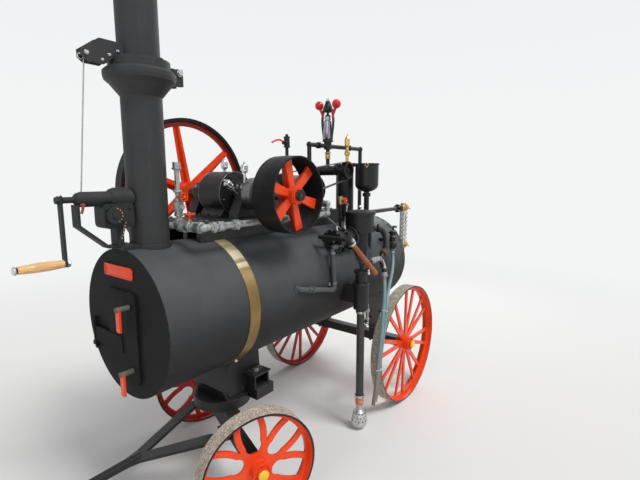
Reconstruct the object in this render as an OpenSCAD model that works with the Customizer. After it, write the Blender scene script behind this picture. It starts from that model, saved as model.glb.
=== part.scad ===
// Portable steam engine on four spoked wheels: a horizontal boiler with the smokebox in front,
// an open single-cylinder engine on its back, a turntable fore-carriage and a drawbar.
// +X points forward, +Y to the engine's left and +Z up. The ground is at Z = 0.

/* [Boiler] */
// Outer radius of the boiler barrel
boiler_r = 330; // [310:5:340]
// Height of the boiler's axis above the ground
boiler_z = 941; // [930:1:960]
// Length of the barrel from its front edge to the backhead
boiler_l = 2030; // [1980:5:2080]
// Place of the smokebox door's front face along the engine
face_x = 837; // [820:1:850]
// Wall of the smokebox shell
shell_t = 9; // [6:0.5:12]
// Depth of the smokebox from its front edge to the tube plate
smokebox_depth = 360; // [330:5:390]
// Width of the brass band round the barrel
band_w = 66; // [40:1:80]
// Distance from the door's face to the brass band's front edge
band_back = 420; // [405:1:440]
// Thickness of the smokebox door
door_t = 12; // [8:0.5:16]
// Gap between the closed door and the shell
door_gap = 0.5; // [0.3:0.1:1]

/* [Chimney] */
// Distance from the door's face back to the chimney's axis
chimney_back = 138; // [130:1:146]
// Outer radius of the chimney tube
chimney_r = 84; // [76:1:90]
// Wall of the chimney tube
chimney_t = 5; // [3:0.5:8]
// Height of the fold joint above the ground
fold_z = 2030; // [2000:5:2060]
// Height of the chimney's top above the ground
chimney_top = 2860; // [2700:10:2950]
// Greatest radius of the spark bowl under the fold joint
bowl_r = 145; // [135:1:155]

/* [Road wheels] */
// Radius of a rear wheel over its tread
rear_r = 408; // [395:1:415]
// Radius of a front wheel over its tread
front_r = 272; // [262:1:280]
// Width of a rear wheel's tread
rear_w = 76; // [60:1:90]
// Width of a front wheel's tread
front_w = 84; // [60:1:90]
// Distance from the centre line to a rear wheel's outer face
rear_half = 517; // [505:1:530]
// Distance from the steering centre to a front wheel's outer face
front_half = 534; // [525:1:545]
// Distance from the door's face back to the steering centre
front_back = 510; // [500:1:520]
// Distance from the door's face back to the rear axle
rear_back = 1751; // [1735:1:1770]
// Angle of the parked fore-carriage from straight ahead
park_deg = -22; // [-24:1:-18]
// Number of spoke pairs in a rear wheel
rear_pairs = 8; // [6:1:9]
// Number of forked spokes in a front wheel
front_forks = 6; // [5:1:7]

/* [Engine] */
// Distance from the door's face back to the crankshaft
crank_back = 681; // [670:1:690]
// Height of the crankshaft above the ground
crank_z = 1481; // [1470:1:1490]
// Radius of the crankshaft
crank_r = 27; // [22:0.5:30]
// Outer radius of the flywheel
fly_r = 429; // [415:1:435]
// Width of the flywheel's rim
fly_w = 62; // [50:1:70]
// Distance from the centre line to the flywheel's inner face
fly_in = 440; // [430:1:450]
// Outer radius of the belt pulley
pulley_r = 190; // [180:1:196]
// Width of the belt pulley's face
pulley_w = 135; // [120:1:140]
// Distance from the centre line to the belt pulley's inner edge
pulley_in = 283; // [275:1:295]
// Outer radius of the steam cylinder's lagging
cyl_r = 98; // [88:1:105]
// Height of the governor's pulley shaft above the ground
gov_z = 1610; // [1602:1:1618]
// Distance from the door's face back to the governor
gov_back = 1450; // [1440:1:1460]

/* [Drawbar] */
// Distance from the steering centre to the centre of the towing eye
drawbar_l = 1020; // [980:10:1080]
// Distance from the steering centre to where the drawbar's two arms meet
fork_l = 460; // [430:10:480]
// Radius of the hole in the towing eye
eye_r = 22; // [18:0.5:26]

/* [Hidden] */
$fn = 48;
// Gap left where a piece seats on a curved face
seat = 0.3;
// Running clearance of a shaft in its bearing
run_c = 0.06;
// Overlap of joined shapes inside one solid
lap = 1;

chimney_x = face_x - chimney_back;
front_x = face_x - front_back;
rear_x = face_x - rear_back;
crank_x = face_x - crank_back;
gov_x = face_x - gov_back;
barrel_rear = face_x - boiler_l;
boiler_top = boiler_z + boiler_r;

// Smokebox front plate and its hatch
face_t = 8;
hatch_y = -5;
hatch_z = 890;
hatch_w = 190;
hatch_h = 360;
hinge_y = -250;
hinge_z = 850;
catch_y = 62;
catch_z = [1030, 750];
// Firehole in the backhead
fire_r = 110;
fire_depth = 160;
fire_out = 10;
fire_hinge_y = 160;
fire_hinge_z = 901;
band_x = face_x - band_back;
band_t = 3;
// Fold joint of the chimney
fold_back = 172;
fold_gap = 0.5;
flange_r = 123;
lever_l = 240;
// Engine bed and crank
engine_y = -125;
bed_z = 1332;
bed_t = 22;
bed_front = crank_x + 340;
bed_rear = crank_x - 800;
bed_near = 95;
near_bearing = 5;
far_bearing = -345;
guard_w = 176;
guard_r = 116;
throw = 52;
drum_y = 96;
drum_w = 104;
drum_r = 84;
fly_arms = 6;
fly_turn = 9;
pulley_arms = 6;
pulley_turn = 13;
cyl_back = 440;
cyl_l = 330;
chest_y = 20;
// Governor, its belt and the steam pipe
pipe_z = 1772;
pipe_r = 14;
pipe_rear = gov_x - 410;
gov_r = 54;
belt_y = 160;
belt_w = 30;
belt_t = 4;
ball_out = 70;
ball_z = 2040;
ball_r = 30;
cap_z = 2050;
dome_x = gov_x - 175;
dome_y = 42;
dome_z = 1655;
dome_r = 62;
valve_y = dome_y + 18;
// Exhaust pipe and blower
exhaust_back = 112;
exhaust_y0 = 30;
exhaust_y = 236;
exhaust_z = 1350;
exhaust_r = 16;
standpipe_l = 280;
// Fittings on the near side of the barrel
pot_x = gov_x - 200;
pot_y = 208;
pot_z = 1465;
pot_h = 195;
pot_r = 80;
tank_x = gov_x + 30;
tank_y = 300;
tank_z = 1220;
tank_h = 125;
tank_r = 92;
pump_y = 285;
pump_z = 1188;
pump_l = 190;
lever_y = 475;
lever_r = 12;
hand_x = gov_x + 220;
hand_y = 432;
hose_a_x = gov_x + 20;
hose_a_y = 480;
lever_p = [gov_x + 420, lever_y, 1227];
lever_q = [gov_x + 130, lever_y, 987];
strainer_low = 20;
strainer_top = 205;
gauge_x = barrel_rear - 40;
gauge_y = 285;
gauge_z = 1090;
gauge_h = 220;
check_x = gov_x - 290;
side_valve = [gov_x + 110, 200, 1420];
check_y = 372;
// Winch
winch_x = chimney_x + 90;
winch_z = 1482;
crank_grip_x = face_x + 222;
crank_arm = 240;
// Running gear
stub_r = 22;
king_r = 20;
turn_r = 150;
turn_z = 400;
hinge_half = 190;
pin_out = 60;
fork_z = 176;
rear_turn = -10;
rear_spread = 8.5;
front_turn = 40;
// Gaps between a front wheel's forks: two shallow arcs on a round bottom
gap_low = 72;
gap_r = 38;
gap_mid = 186;
gap_w = 46;
gap_bow = 230;
branch_w = 28;
// Hose routes, round numbers
ribbed_pts = [
  [-662, 379, 1238], [-682, 396, 1233], [-698, 410, 1214], [-705, 419, 1184], [-706, 426, 1144],
  [-694, 430, 1106], [-657, 431, 1079]
];
hose_a = [
  [-593, 480, 966], [-593, 480, 940], [-586, 485, 908], [-574, 494, 868], [-560, 501, 824],
  [-546, 506, 780], [-533, 511, 736], [-520, 515, 690], [-507, 519, 644], [-495, 522, 598],
  [-482, 524, 552], [-470, 526, 506], [-458, 528, 460], [-447, 529, 412], [-437, 530, 364],
  [-428, 530, 314], [-418, 530, 262], [-400, 528, 180]
];
hose_b = [
  [-903, 372, 1060], [-903, 372, 1036], [-892, 381, 1006], [-865, 396, 980], [-825, 414, 940], [-770, 433, 898],
  [-705, 455, 858], [-645, 478, 815], [-600, 497, 765], [-568, 508, 700], [-540, 516, 630],
  [-512, 521, 560], [-492, 524, 490], [-475, 526, 424], [-459, 527, 344], [-444, 527, 260],
  [-426, 525, 190]
];

// Straight round bar from point p to point q
module bar(p, q, r, r2 = -1) {
  d = q - p;
  l = norm(d);
  translate(p)
    rotate([0, acos(d[2] / l), atan2(d[1], d[0])])
      cylinder(h = l, r1 = r, r2 = r2 < 0 ? r : r2);
}

// Round bars along X, Y and Z that start at a point
module bar_x(x, y, z, l, r) {
  translate([x, y, z]) rotate([0, 90, 0]) cylinder(h = l, r = r);
}
module bar_y(x, y, z, l, r) {
  translate([x, y, z]) rotate([-90, 0, 0]) cylinder(h = l, r = r);
}
module bar_z(x, y, z, l, r) {
  translate([x, y, z]) cylinder(h = l, r = r);
}

// Box given by its low corner and its size
module box(x, y, z, l, w, h) {
  translate([x, y, z]) cube([l, w, h]);
}

// Ball that joins two pipes at a bend
module bend(p, r) {
  translate(p) sphere(r = r);
}

// The barrel's outside with the seat gap, to cut what stands on it
module barrel_cut(extra = 0) {
  bar_x(barrel_rear - 200, 0, boiler_z, boiler_l + 400, boiler_r + seat + extra);
}

// Smokebox shell, barrel, tube plate and backhead in one riveted-up body
module boiler_barrel() {
  color("#2b2d2f")
    difference() {
      union() {
        bar_x(barrel_rear, 0, boiler_z, boiler_l, boiler_r);
        for (z = [hinge_z - 56, hinge_z + 37])
          box(face_x - lap, hinge_y - 12, z, door_gap + door_t + 12 + lap, 24, 19);
        for (z = [fire_hinge_z - 60, fire_hinge_z + 44])
          box(barrel_rear - 22, fire_hinge_y - 12, z, 22 + lap, 24, 16);
      }
      bar_z(face_x + door_gap + door_t, hinge_y, hinge_z - 80, 160, 6 + run_c);
      bar_z(barrel_rear - fire_out, fire_hinge_y, fire_hinge_z - 80, 160, 7 + run_c);
      bar_x(face_x - smokebox_depth, 0, boiler_z, smokebox_depth - face_t, boiler_r - shell_t);
      bar_z(chimney_x, 0, boiler_z + boiler_r / 2, boiler_r, chimney_r - chimney_t);
      box(face_x - face_t - lap, hatch_y - hatch_w / 2, hatch_z - hatch_h / 2,
        face_t + 2 * lap, hatch_w, hatch_h);
      bar_x(barrel_rear - lap, 0, boiler_z - 40, fire_depth, fire_r);
    }
}

module boiler_band() {
  color("#b08d3c")
    difference() {
      bar_x(band_x - band_w, 0, boiler_z, band_w, boiler_r + seat + band_t);
      bar_x(band_x - band_w - lap, 0, boiler_z, band_w + 2 * lap, boiler_r + seat);
    }
}

// Lower chimney with its spark bowl and the fixed half of the fold joint
module chimney_base() {
  pin_x = chimney_x - fold_back;
  color("#2b2d2f")
    difference() {
      union() {
        bar_z(chimney_x, 0, boiler_top - 60, fold_z - boiler_top + 60, chimney_r);
        bar_z(chimney_x, 0, boiler_top - 30, 40, chimney_r + 8);
        translate([chimney_x, 0, 0])
          rotate_extrude()
            polygon([
              [chimney_r - lap, fold_z - 130], [chimney_r, fold_z - 130],
              [bowl_r - 22, fold_z - 82], [bowl_r - 4, fold_z - 66], [bowl_r, fold_z - 50],
              [bowl_r, fold_z - 34], [bowl_r - 8, fold_z - 26], [flange_r, fold_z - 20],
              [flange_r, fold_z], [chimney_r - lap, fold_z]
            ]);
        for (s = [-1, 1])
          translate([0, s * 27 + 7, 0])
            rotate([90, 0, 0])
              linear_extrude(height = 14)
                polygon([
                  [pin_x - 16, fold_z - 60], [chimney_x - flange_r + 20, fold_z - 70],
                  [chimney_x - flange_r + 20, fold_z - 6], [chimney_x - flange_r - 4, fold_z - 6],
                  [pin_x + 12, fold_z + 12], [pin_x - 16, fold_z + 12]
                ]);
      }
      bar_z(chimney_x, 0, boiler_z, fold_z, chimney_r - chimney_t);
      barrel_cut();
      bar_y(pin_x, -60, fold_z - 4, 120, 7 + run_c);
    }
}

// Upper chimney, which folds back about the pin behind the bowl
module upper_chimney() {
  pin_x = chimney_x - fold_back;
  low = fold_z + fold_gap;
  color("#2b2d2f")
    difference() {
      union() {
        bar_z(chimney_x, 0, low, chimney_top - low, chimney_r);
        bar_z(chimney_x, 0, low, 14, flange_r);
        translate([chimney_x, 0, 0])
          rotate_extrude()
            polygon([
              [chimney_r - lap, chimney_top - 46], [chimney_r + 4, chimney_top - 46],
              [chimney_r + 16, chimney_top - 14], [chimney_r + 16, chimney_top],
              [chimney_r - lap, chimney_top]
            ]);
        box(pin_x - 10, -17, low, fold_back - flange_r + 40, 34, 14);
        bar_y(pin_x, -17, fold_z - 4, 34, 14);
        bar_y(pin_x, -42, fold_z - 4, 84, 7);
        for (s = [-1, 1])
          translate([0, s * 20 + 4, 0])
            rotate([90, 0, 0])
              linear_extrude(height = 8)
                polygon([
                  [chimney_x + chimney_r - 6, low + 10], [chimney_x + flange_r, low - 0],
                  [chimney_x + flange_r + 36, low - 30], [chimney_x + lever_l - 20, low - 30],
                  [chimney_x + lever_l, low - 14], [chimney_x + lever_l, low + 14],
                  [chimney_x + chimney_r + 90, low + 64], [chimney_x + chimney_r - 6, low + 64]
                ]);
        box(chimney_x + chimney_r + 60, -18, low - 16, 30, 36, 60);
        bar_y(chimney_x + lever_l - 16, -24, low, 48, 9);
      }
      bar_z(chimney_x, 0, fold_z - 40, chimney_top, chimney_r - chimney_t);
    }
}

// Open bed plate on two girders, with the crankshaft's two pedestals
module engine_bed() {
  color("#303234")
    difference() {
      union() {
        for (y = [engine_y - 95, engine_y + 95, 75])
          box(bed_rear, y - 15, boiler_top - 110, bed_front - bed_rear, 30, bed_z - boiler_top + 110 + lap);
        box(bed_rear, engine_y - 125, bed_z, bed_front - bed_rear, bed_near - engine_y + 125, bed_t);
        box(crank_x - 110, far_bearing - 12, bed_z, 220, 160, bed_t);
        for (b = [[far_bearing, 70], [near_bearing, 70]])
          union() {
            translate([0, b[0] + b[1], 0])
              rotate([90, 0, 0])
                linear_extrude(height = b[1])
                  polygon([
                    [crank_x - 98, bed_z + lap], [crank_x + 98, bed_z + lap],
                    [crank_x + 90, bed_z + 50], [crank_x + 52, crank_z - 26],
                    [crank_x + 52, crank_z + 18], [crank_x + 30, crank_z + 54],
                    [crank_x - 30, crank_z + 54], [crank_x - 52, crank_z + 18],
                    [crank_x - 52, crank_z - 26], [crank_x - 90, bed_z + 50]
                  ]);
            bar_y(crank_x, b[0] - 8, crank_z, b[1] + 16, crank_r + 20);
          }
      }
      barrel_cut();
      bar_x(band_x - band_w - 1, 0, boiler_z, band_w + 2, boiler_r + band_t + 2 * seat);
      bar_y(crank_x, far_bearing - 40, crank_z, near_bearing - far_bearing + 150, crank_r + run_c);
      box(crank_x - 120, engine_y - guard_w / 2 - 8, bed_z - lap, 240, guard_w + 16, bed_t + 2 * lap);
    }
}

// Round guard over the crank, open behind for the connecting rod
module crank_guard() {
  color("#26282a")
    difference() {
      union() {
        bar_y(crank_x, engine_y - guard_w / 2, crank_z, guard_w, guard_r);
        for (s = [0, 1])
          translate([crank_x, engine_y + guard_w / 2, 0])
            mirror([s, 0, 0])
              rotate([90, 0, 0])
                linear_extrude(height = guard_w)
                  polygon([
                    [40, bed_z + bed_t + 8], [60, bed_z + bed_t], [136, bed_z + bed_t],
                    [136, bed_z + bed_t + 10], [112, bed_z + bed_t + 10], [78, crank_z - 76],
                    [40, crank_z - 96]
                  ]);
      }
      bar_y(crank_x, engine_y - guard_w / 2 + 5, crank_z, guard_w - 10, guard_r - 5);
      bar_y(crank_x, engine_y - guard_w, crank_z, 2 * guard_w, crank_r + 6);
      box(crank_x - 200, engine_y - 24, crank_z - 24, 150, 48, 48);
    }
}

// Crankshaft with its disc webs, its pin and the eccentric drum beside the near bearing
module crankshaft() {
  color("#7d7f80")
    difference() {
      union() {
        bar_y(crank_x, -fly_in - fly_w - 34, crank_z, fly_in + fly_w + 34 + pulley_in + pulley_w + 10,
          crank_r);
        for (s = [-1, 1])
          bar_y(crank_x, engine_y + s * 50 - 14, crank_z, 28, guard_r - 18);
        bar_y(crank_x + throw, engine_y - 50, crank_z, 100, 20);
        bar_y(crank_x, drum_y, crank_z, drum_w, drum_r);
        bar_y(crank_x, drum_y + drum_w - lap, crank_z, 18, drum_r + 6);
      }
      difference() {
        bar_y(crank_x, engine_y - 36, crank_z, 72, guard_r);
        bar_y(crank_x + throw, engine_y - 40, crank_z, 80, 20);
      }
    }
}

// Flywheel with six T-section arms
module flywheel() {
  color("#d8431f")
    translate([crank_x, -fly_in - fly_w / 2, crank_z])
      difference() {
        union() {
          rotate([-90, 0, 0])
            rotate_extrude($fn = 96)
              polygon([
                [fly_r - 20, -fly_w / 2], [fly_r, -fly_w / 2], [fly_r, fly_w / 2],
                [fly_r - 20, fly_w / 2], [fly_r - 24, 7], [fly_r - 46, 6], [fly_r - 46, -6],
                [fly_r - 24, -7]
              ]);
          bar_y(0, -fly_w / 2 - 16, 0, fly_w + 32, 60);
          for (i = [0:fly_arms - 1])
            rotate([0, i * 360 / fly_arms + fly_turn, 0])
              union() {
                translate([0, 5, 0])
                  rotate([90, 0, 0])
                    linear_extrude(height = 10)
                      polygon([[-30, 40], [30, 40], [20, fly_r - 40], [-20, fly_r - 40]]);
                translate([-6, -26, 40]) cube([12, 52, fly_r - 90]);
              }
        }
        bar_y(0, -fly_w, 0, 2 * fly_w, crank_r);
      }
}

// Flat-belt pulley with six tapered arms
module belt_pulley() {
  color("#d8431f")
    translate([crank_x, pulley_in, crank_z])
      difference() {
        union() {
          rotate([-90, 0, 0])
            rotate_extrude($fn = 72)
              polygon([
                [pulley_r - 10, 0], [pulley_r - 2, 0], [pulley_r, pulley_w / 2],
                [pulley_r - 2, pulley_w], [pulley_r - 10, pulley_w], [pulley_r - 11, pulley_w / 2]
              ]);
          bar_y(0, 30, 0, pulley_w - 42, 44);
          for (i = [0:pulley_arms - 1])
            rotate([0, i * 360 / pulley_arms + pulley_turn, 0])
              translate([0, pulley_w - 40, 0])
                rotate([90, 0, 0])
                  linear_extrude(height = 14)
                    polygon([[-17, 38], [17, 38], [27, pulley_r - 10.5], [-27, pulley_r - 10.5]]);
        }
        bar_y(0, -1, 0, pulley_w + 2, crank_r);
      }
}

// Lagged steam cylinder with its covers, foot and valve chest
module steam_cylinder() {
  back = crank_x - cyl_back - cyl_l;
  color("#2c2e30")
    union() {
      bar_x(back, engine_y, crank_z, cyl_l, cyl_r);
      for (x = [back - 22, back + cyl_l])
        bar_x(x, engine_y, crank_z, 22, cyl_r + 12);
      bar_x(back + cyl_l, engine_y, crank_z, 60, 34);
      box(back + 30, engine_y - 80, bed_z + bed_t, cyl_l - 100, 160, 60);
      difference() {
        box(back + 120, engine_y + 60, crank_z - 56, 160, chest_y + 50 - engine_y - 60, 112);
        bar_x(back, engine_y, crank_z, cyl_l, cyl_r - lap);
      }
      bar_z(back + 250, engine_y, crank_z + cyl_r - 4, 180, 11);
      bar_z(back + 250, engine_y, crank_z + cyl_r + 176, 60, 19);
      bar_z(back + 250, engine_y, crank_z + cyl_r + 236, 24, 10);
      bar_x(back + 250, engine_y, crank_z + cyl_r + 206, 36, 12);
    }
}

// Piston rod, crosshead, guide bars and the open end of the connecting rod
module motion_rods() {
  front = crank_x - cyl_back;
  color("#8a8c8e")
    union() {
      bar_x(front + 60, engine_y, crank_z, 60, 11);
      box(front + 110, engine_y - 26, crank_z - 34, 56, 52, 68);
      bar([front + 160, engine_y, crank_z], [crank_x - guard_r + 10, engine_y, crank_z], 17, 13);
      for (s = [-1, 1])
        box(front + 22, engine_y - 17, crank_z + s * 41 - 7, cyl_back - guard_r - 50, 34, 14);
      box(crank_x - guard_r - 44, engine_y - 17, bed_z + bed_t, 16, 34, crank_z - bed_z - bed_t - 40);
      box(crank_x - guard_r - 44, engine_y - 17, crank_z - 48, 16, 34, 14);
    }
}

// Steam dome on the barrel with its bolted cover
module steam_dome() {
  color("#2b2d2f")
    difference() {
      union() {
        bar_z(dome_x, dome_y, boiler_z + 200, dome_z - boiler_z - 200, dome_r);
        bar_z(dome_x, dome_y, dome_z - 16, 16, dome_r + 16);
        bar_z(dome_x, dome_y, boiler_top - 26, 40, dome_r + 22);
        box(dome_x, dome_y - 30, gov_z - 12, gov_x - dome_x - 32 - seat, 40, 24);
      }
      barrel_cut();
    }
}

// Steam pipe with the governor's throttle body, column and bevel housing
module governor_stand() {
  front = crank_x - cyl_back - cyl_l + 200;
  color("#2b2d2f")
    difference() {
      union() {
        bar_x(pipe_rear, chest_y, pipe_z, front - pipe_rear, pipe_r);
        bend([front, chest_y, pipe_z], pipe_r + 5);
        bend([pipe_rear, chest_y, pipe_z], pipe_r + 5);
        bar_z(front, chest_y, crank_z + 56 + seat, pipe_z - crank_z - 56 - seat, pipe_r);
        bar_z(front, chest_y, crank_z + 56 + seat, 12, pipe_r + 16);
        bar_z(pipe_rear, chest_y, boiler_top - 20, pipe_z - boiler_top + 20, pipe_r);
        bar_z(pipe_rear, chest_y, boiler_top - 20, 34, pipe_r + 16);
        bar_z(gov_x, chest_y, pipe_z - 22, 48, 26);
        bar_z(gov_x, chest_y, gov_z + 20, pipe_z - gov_z - 20, 13);
        bar_y(gov_x, chest_y - 70, gov_z, 140, 32);
        bar_y(gov_x, chest_y + 60, gov_z, 24, 20);
      }
      barrel_cut();
      bar_z(gov_x, chest_y, gov_z, pipe_z - gov_z + 60, 6 + run_c);
      bar_y(gov_x, chest_y - 55, gov_z, 200, 9 + run_c);
      bar_y(gov_x, chest_y - 24, gov_z, 48, 22);
    }
}

// Flat belt from the eccentric drum up to the governor's pulley
module governor_belt() {
  color("#4a3626")
    translate([0, belt_y + belt_w, 0])
      rotate([90, 0, 0])
        linear_extrude(height = belt_w)
          difference() {
            polygon(belt_loop(drum_r + seat + belt_t, gov_r + seat + belt_t));
            polygon(belt_loop(drum_r + seat, gov_r + seat));
          }
}
// Outline of a belt round the drum (radius r1) and the governor's pulley (radius r2)
function belt_loop(r1, r2) =
  let (
    dx = gov_x - crank_x, dz = gov_z - crank_z, d = norm([dx, dz]),
    a = atan2(dz, dx), b = acos((r1 - r2) / d), n = 24
  )
  concat(
    [for (i = [0:n]) let (t = a - b + 2 * b * i / n) [gov_x + r2 * cos(t), gov_z + r2 * sin(t)]],
    [
      for (i = [0:n])
        let (t = a + b + (360 - 2 * b) * i / n)
          [crank_x + r1 * cos(t), crank_z + r1 * sin(t)]
    ]
  );

module governor_pulley() {
  color("#2b2d2f")
    union() {
      difference() {
        bar_y(gov_x, belt_y - 5, gov_z, belt_w + 10, gov_r);
        bar_y(gov_x, belt_y + 12, gov_z, belt_w, gov_r - 10);
      }
      bar_y(gov_x, chest_y - 54, gov_z, belt_y + 30 - chest_y + 54, 9);
      bar_y(gov_x, chest_y - 20, gov_z, 8, 16);
    }
}

// Governor spindle with its polished cone inside two bowed arms, and the ball stalks
module governor_spindle() {
  base = pipe_z + 27;
  color("#2b2d2f")
    translate([gov_x, chest_y, 0])
      union() {
        bar_z(0, 0, gov_z + 26, base - gov_z - 26 + lap, 6);
        rotate_extrude()
          polygon([
            [0, base], [36, base], [36, base + 12], [20, base + 18], [9, base + 30],
            [22, base + 160], [18, base + 172], [8, base + 180], [7, cap_z], [16, cap_z],
            [16, cap_z + 12], [9, cap_z + 20], [9, cap_z + 30], [0, cap_z + 32]
          ]);
        for (s = [-1, 1])
          union() {
            translate([9, 0, 0])
              rotate([90, 0, -90])
                linear_extrude(height = 18)
                  bowed_arm(s);
            bar([0, s * (ball_out - 34), ball_z - 85], [0, s * (ball_out - 4.1), ball_z - 10.3], 6, 12);
          }
      }
}
// Side arm of the governor's cage: two arcs' worth of points between the foot and the cap
module bowed_arm(s) {
  low = pipe_z + 34;
  n = 8;
  polygon(concat(
    [for (i = [0:n]) [s * bow(i / n), low + (cap_z + 6 - low) * i / n]],
    [for (i = [n:-1:0]) [s * (bow(i / n) - 8), low + (cap_z + 6 - low) * i / n]]
  ));
}
// Half width of the governor's cage at the share t of its height
function bow(t) = 14 + 20 * (1 - t) + 26 * sin(180 * pow(t, 1.3));

module governor_balls() {
  color("#c8242b")
    for (s = [-1, 1])
      translate([gov_x, chest_y + s * ball_out, ball_z])
        difference() {
          sphere(r = ball_r);
          bar([0, -s * 60, -150], [0, -s * 4, -10], 13);
        }
}

// Brass safety valve on the dome's cover
module safety_valve() {
  color("#b08d3c")
    translate([dome_x, valve_y, dome_z])
      rotate_extrude()
        polygon([
          [0, 0], [26, 0], [26, 10], [12, 14], [12, 60], [20, 66], [20, 86], [12, 92],
          [12, 120], [19, 128], [19, 176], [10, 190], [4, 196], [4, 208], [0, 208]
        ]);
}

// Exhaust pipe along the boiler into the chimney, with the blower's standpipe
module exhaust_pipe() {
  x1 = chimney_x - exhaust_back;
  x2 = crank_x - cyl_back - 30;
  color("#9aa0a3")
    difference() {
      union() {
        bar_x(x1, exhaust_y0, exhaust_z, exhaust_back, exhaust_r);
        bar_y(x1, exhaust_y0, exhaust_z, exhaust_y - exhaust_y0, exhaust_r);
        bend([x1, exhaust_y0, exhaust_z], exhaust_r + 3);
        bend([x1, exhaust_y, exhaust_z], exhaust_r + 4);
        bar_y(x1, exhaust_y - 70, exhaust_z, 34, exhaust_r + 7);
        bar_x(x2, exhaust_y, exhaust_z, x1 - x2, exhaust_r);
        bend([x2, exhaust_y, exhaust_z], exhaust_r + 4);
        bar_z(x2, exhaust_y, exhaust_z, 60, exhaust_r);
        bend([x2, exhaust_y, exhaust_z + 60], exhaust_r + 4);
        bar_y(x2, engine_y + 40, exhaust_z + 60, exhaust_y - engine_y - 40, exhaust_r);
        bar_z(x1, exhaust_y0 + 30, exhaust_z, standpipe_l, 11);
        bar_z(x1, exhaust_y0 + 30, exhaust_z + standpipe_l - 30, 34, 17);
        bar_z(x1, exhaust_y0 + 30, exhaust_z + 50, 60, 18);
        bar_y(x1, exhaust_y0 + 30, exhaust_z + 130, 40, 9);
        bar_y(x1, exhaust_y0 + 40, exhaust_z, 40, exhaust_r + 12);
      }
      bar_z(chimney_x, 0, exhaust_z - 100, 200, chimney_r + seat);
      bar_x(x2 - 200, engine_y, crank_z, 300, cyl_r + seat);
    }
}

// Orange handwheels of the small steam valves
module valve_handles() {
  x1 = chimney_x - exhaust_back;
  color("#d8431f")
    union() {
      handwheel([x1, exhaust_y0 + 70 + seat, exhaust_z + 130], [0, 0, 0], 20);
      handwheel(side_valve + [0, 34 + seat, 0], [0, 0, 0], 20);
      translate([x1, exhaust_y0 + 110, exhaust_z + exhaust_r + seat]) handwheel_up(26);
    }
}
module handwheel(p, turn, r) {
  translate(p)
    rotate(turn)
      rotate([-90, 0, 0])
        wheel_plate(r);
}
module handwheel_up(r) {
  union() {
    cylinder(h = 40, r = 6);
    translate([0, 0, 36]) wheel_plate(r);
  }
}
// Small five-hole handwheel in the XY plane
module wheel_plate(r) {
  difference() {
    cylinder(h = 8, r = r);
    for (i = [0:4])
      rotate([0, 0, i * 72])
        translate([r * 0.56, 0, -1]) cylinder(h = 10, r = r * 0.24, $fn = 24);
  }
}

// Sight-feed cups: upright on the near bearing and the guard, and one slanting off the pedestal
module oil_cups() {
  color("#c9ccce")
    union() {
      translate([crank_x + 6, near_bearing + 35, crank_z + 54 + seat]) cup(40);
      translate([crank_x, engine_y, crank_z + guard_r + seat]) cup(0);
      translate([crank_x + 52 + seat, near_bearing + 35, crank_z - 4])
        rotate([0, 50, 0])
          translate([0, 0, 6]) cup(40);
    }
}
// Glass cup between metal ends on a stem
module cup(stem) {
  rotate_extrude()
    polygon([
      [0, 0], [7, 0], [7, stem + 12], [16, stem + 16], [18, stem + 24], [18, stem + 52],
      [14, stem + 58], [6, stem + 62], [6, stem + 72], [0, stem + 72]
    ]);
}

// Open pot with a round bottom on its standpipe
module lubricator_pot() {
  color("#26282a")
    difference() {
      union() {
        translate([pot_x, pot_y, pot_z])
          rotate_extrude()
            polygon(concat(
              [[0, 0]],
              [for (a = [-80:10:0]) [pot_r * cos(a), 52 + 52 * sin(a)]],
              [[pot_r, pot_h - 12], [pot_r + 4, pot_h - 12], [pot_r + 4, pot_h], [pot_r - 5, pot_h],
               [pot_r - 5, 56]],
              [for (a = [0:-10:-80]) [(pot_r - 6) * cos(a), 56 + 50 * sin(a)]],
              [[0, 6]]
            ));
        bar_z(pot_x, pot_y, boiler_z, pot_z - boiler_z + 4, 18);
        bar_z(pot_x, pot_y, pot_z - 30, 24, 28);
      }
      barrel_cut();
    }
}

// Feedwater tank on the barrel's shoulder with a lipped lid
module feed_tank() {
  color("#26282a")
    difference() {
      union() {
        bar_z(tank_x, tank_y, tank_z, tank_h, tank_r);
        bar_z(tank_x, tank_y, tank_z + tank_h - 16, 16, tank_r + 7);
        bar_z(tank_x, tank_y, boiler_z + 100, tank_z - boiler_z - 100 + lap, tank_r * 0.6);
        bar([tank_x - 56, tank_y + 56, 1240], [tank_x - 77, tank_y + 77, 1239], 18);
      }
      barrel_cut();
    }
}

// Feed pump with flanged ends beside the bed, its delivery pipe and petcocks
module feed_pump() {
  x2 = tank_x + tank_r + 6;
  color("#2c2e30")
    difference() {
      union() {
        bar_x(x2, pump_y, pump_z, pump_l, 58);
        for (x = [x2, x2 + pump_l - 16, x2 + pump_l / 2 - 8])
          bar_x(x, pump_y, pump_z, 16, 72);
        bar_x(x2 + pump_l - lap, pump_y, pump_z, 24, 24);
        box(x2 + 40, pump_y - 60, pump_z - 120, pump_l - 80, 60, 110);
        bar([x2 + pump_l + 10, pump_y, pump_z], [lever_p[0], pump_y, lever_p[2]], 10);
        bar_y(lever_p[0], pump_y - 17, lever_p[2], lever_y - pump_y + 1, 13);
        lever_socket();
        bar([x2 + pump_l + 60, pump_y + 45, pump_z - 24], [x2 + pump_l - 40, pump_y + 40, pump_z - 30], 11);
        bend([x2 + pump_l + 60, pump_y + 45, pump_z - 24], 13);
        bar_z(x2 + pump_l + 60, pump_y + 45, pump_z - 250, 226, 11);
        bend([x2 + pump_l + 60, pump_y + 45, pump_z - 250], 14);
        bar([x2 + pump_l + 60, pump_y + 45, pump_z - 250], [x2 + pump_l + 130, 300, boiler_z + 24], 11);
      }
      barrel_cut();
    }
}

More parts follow.
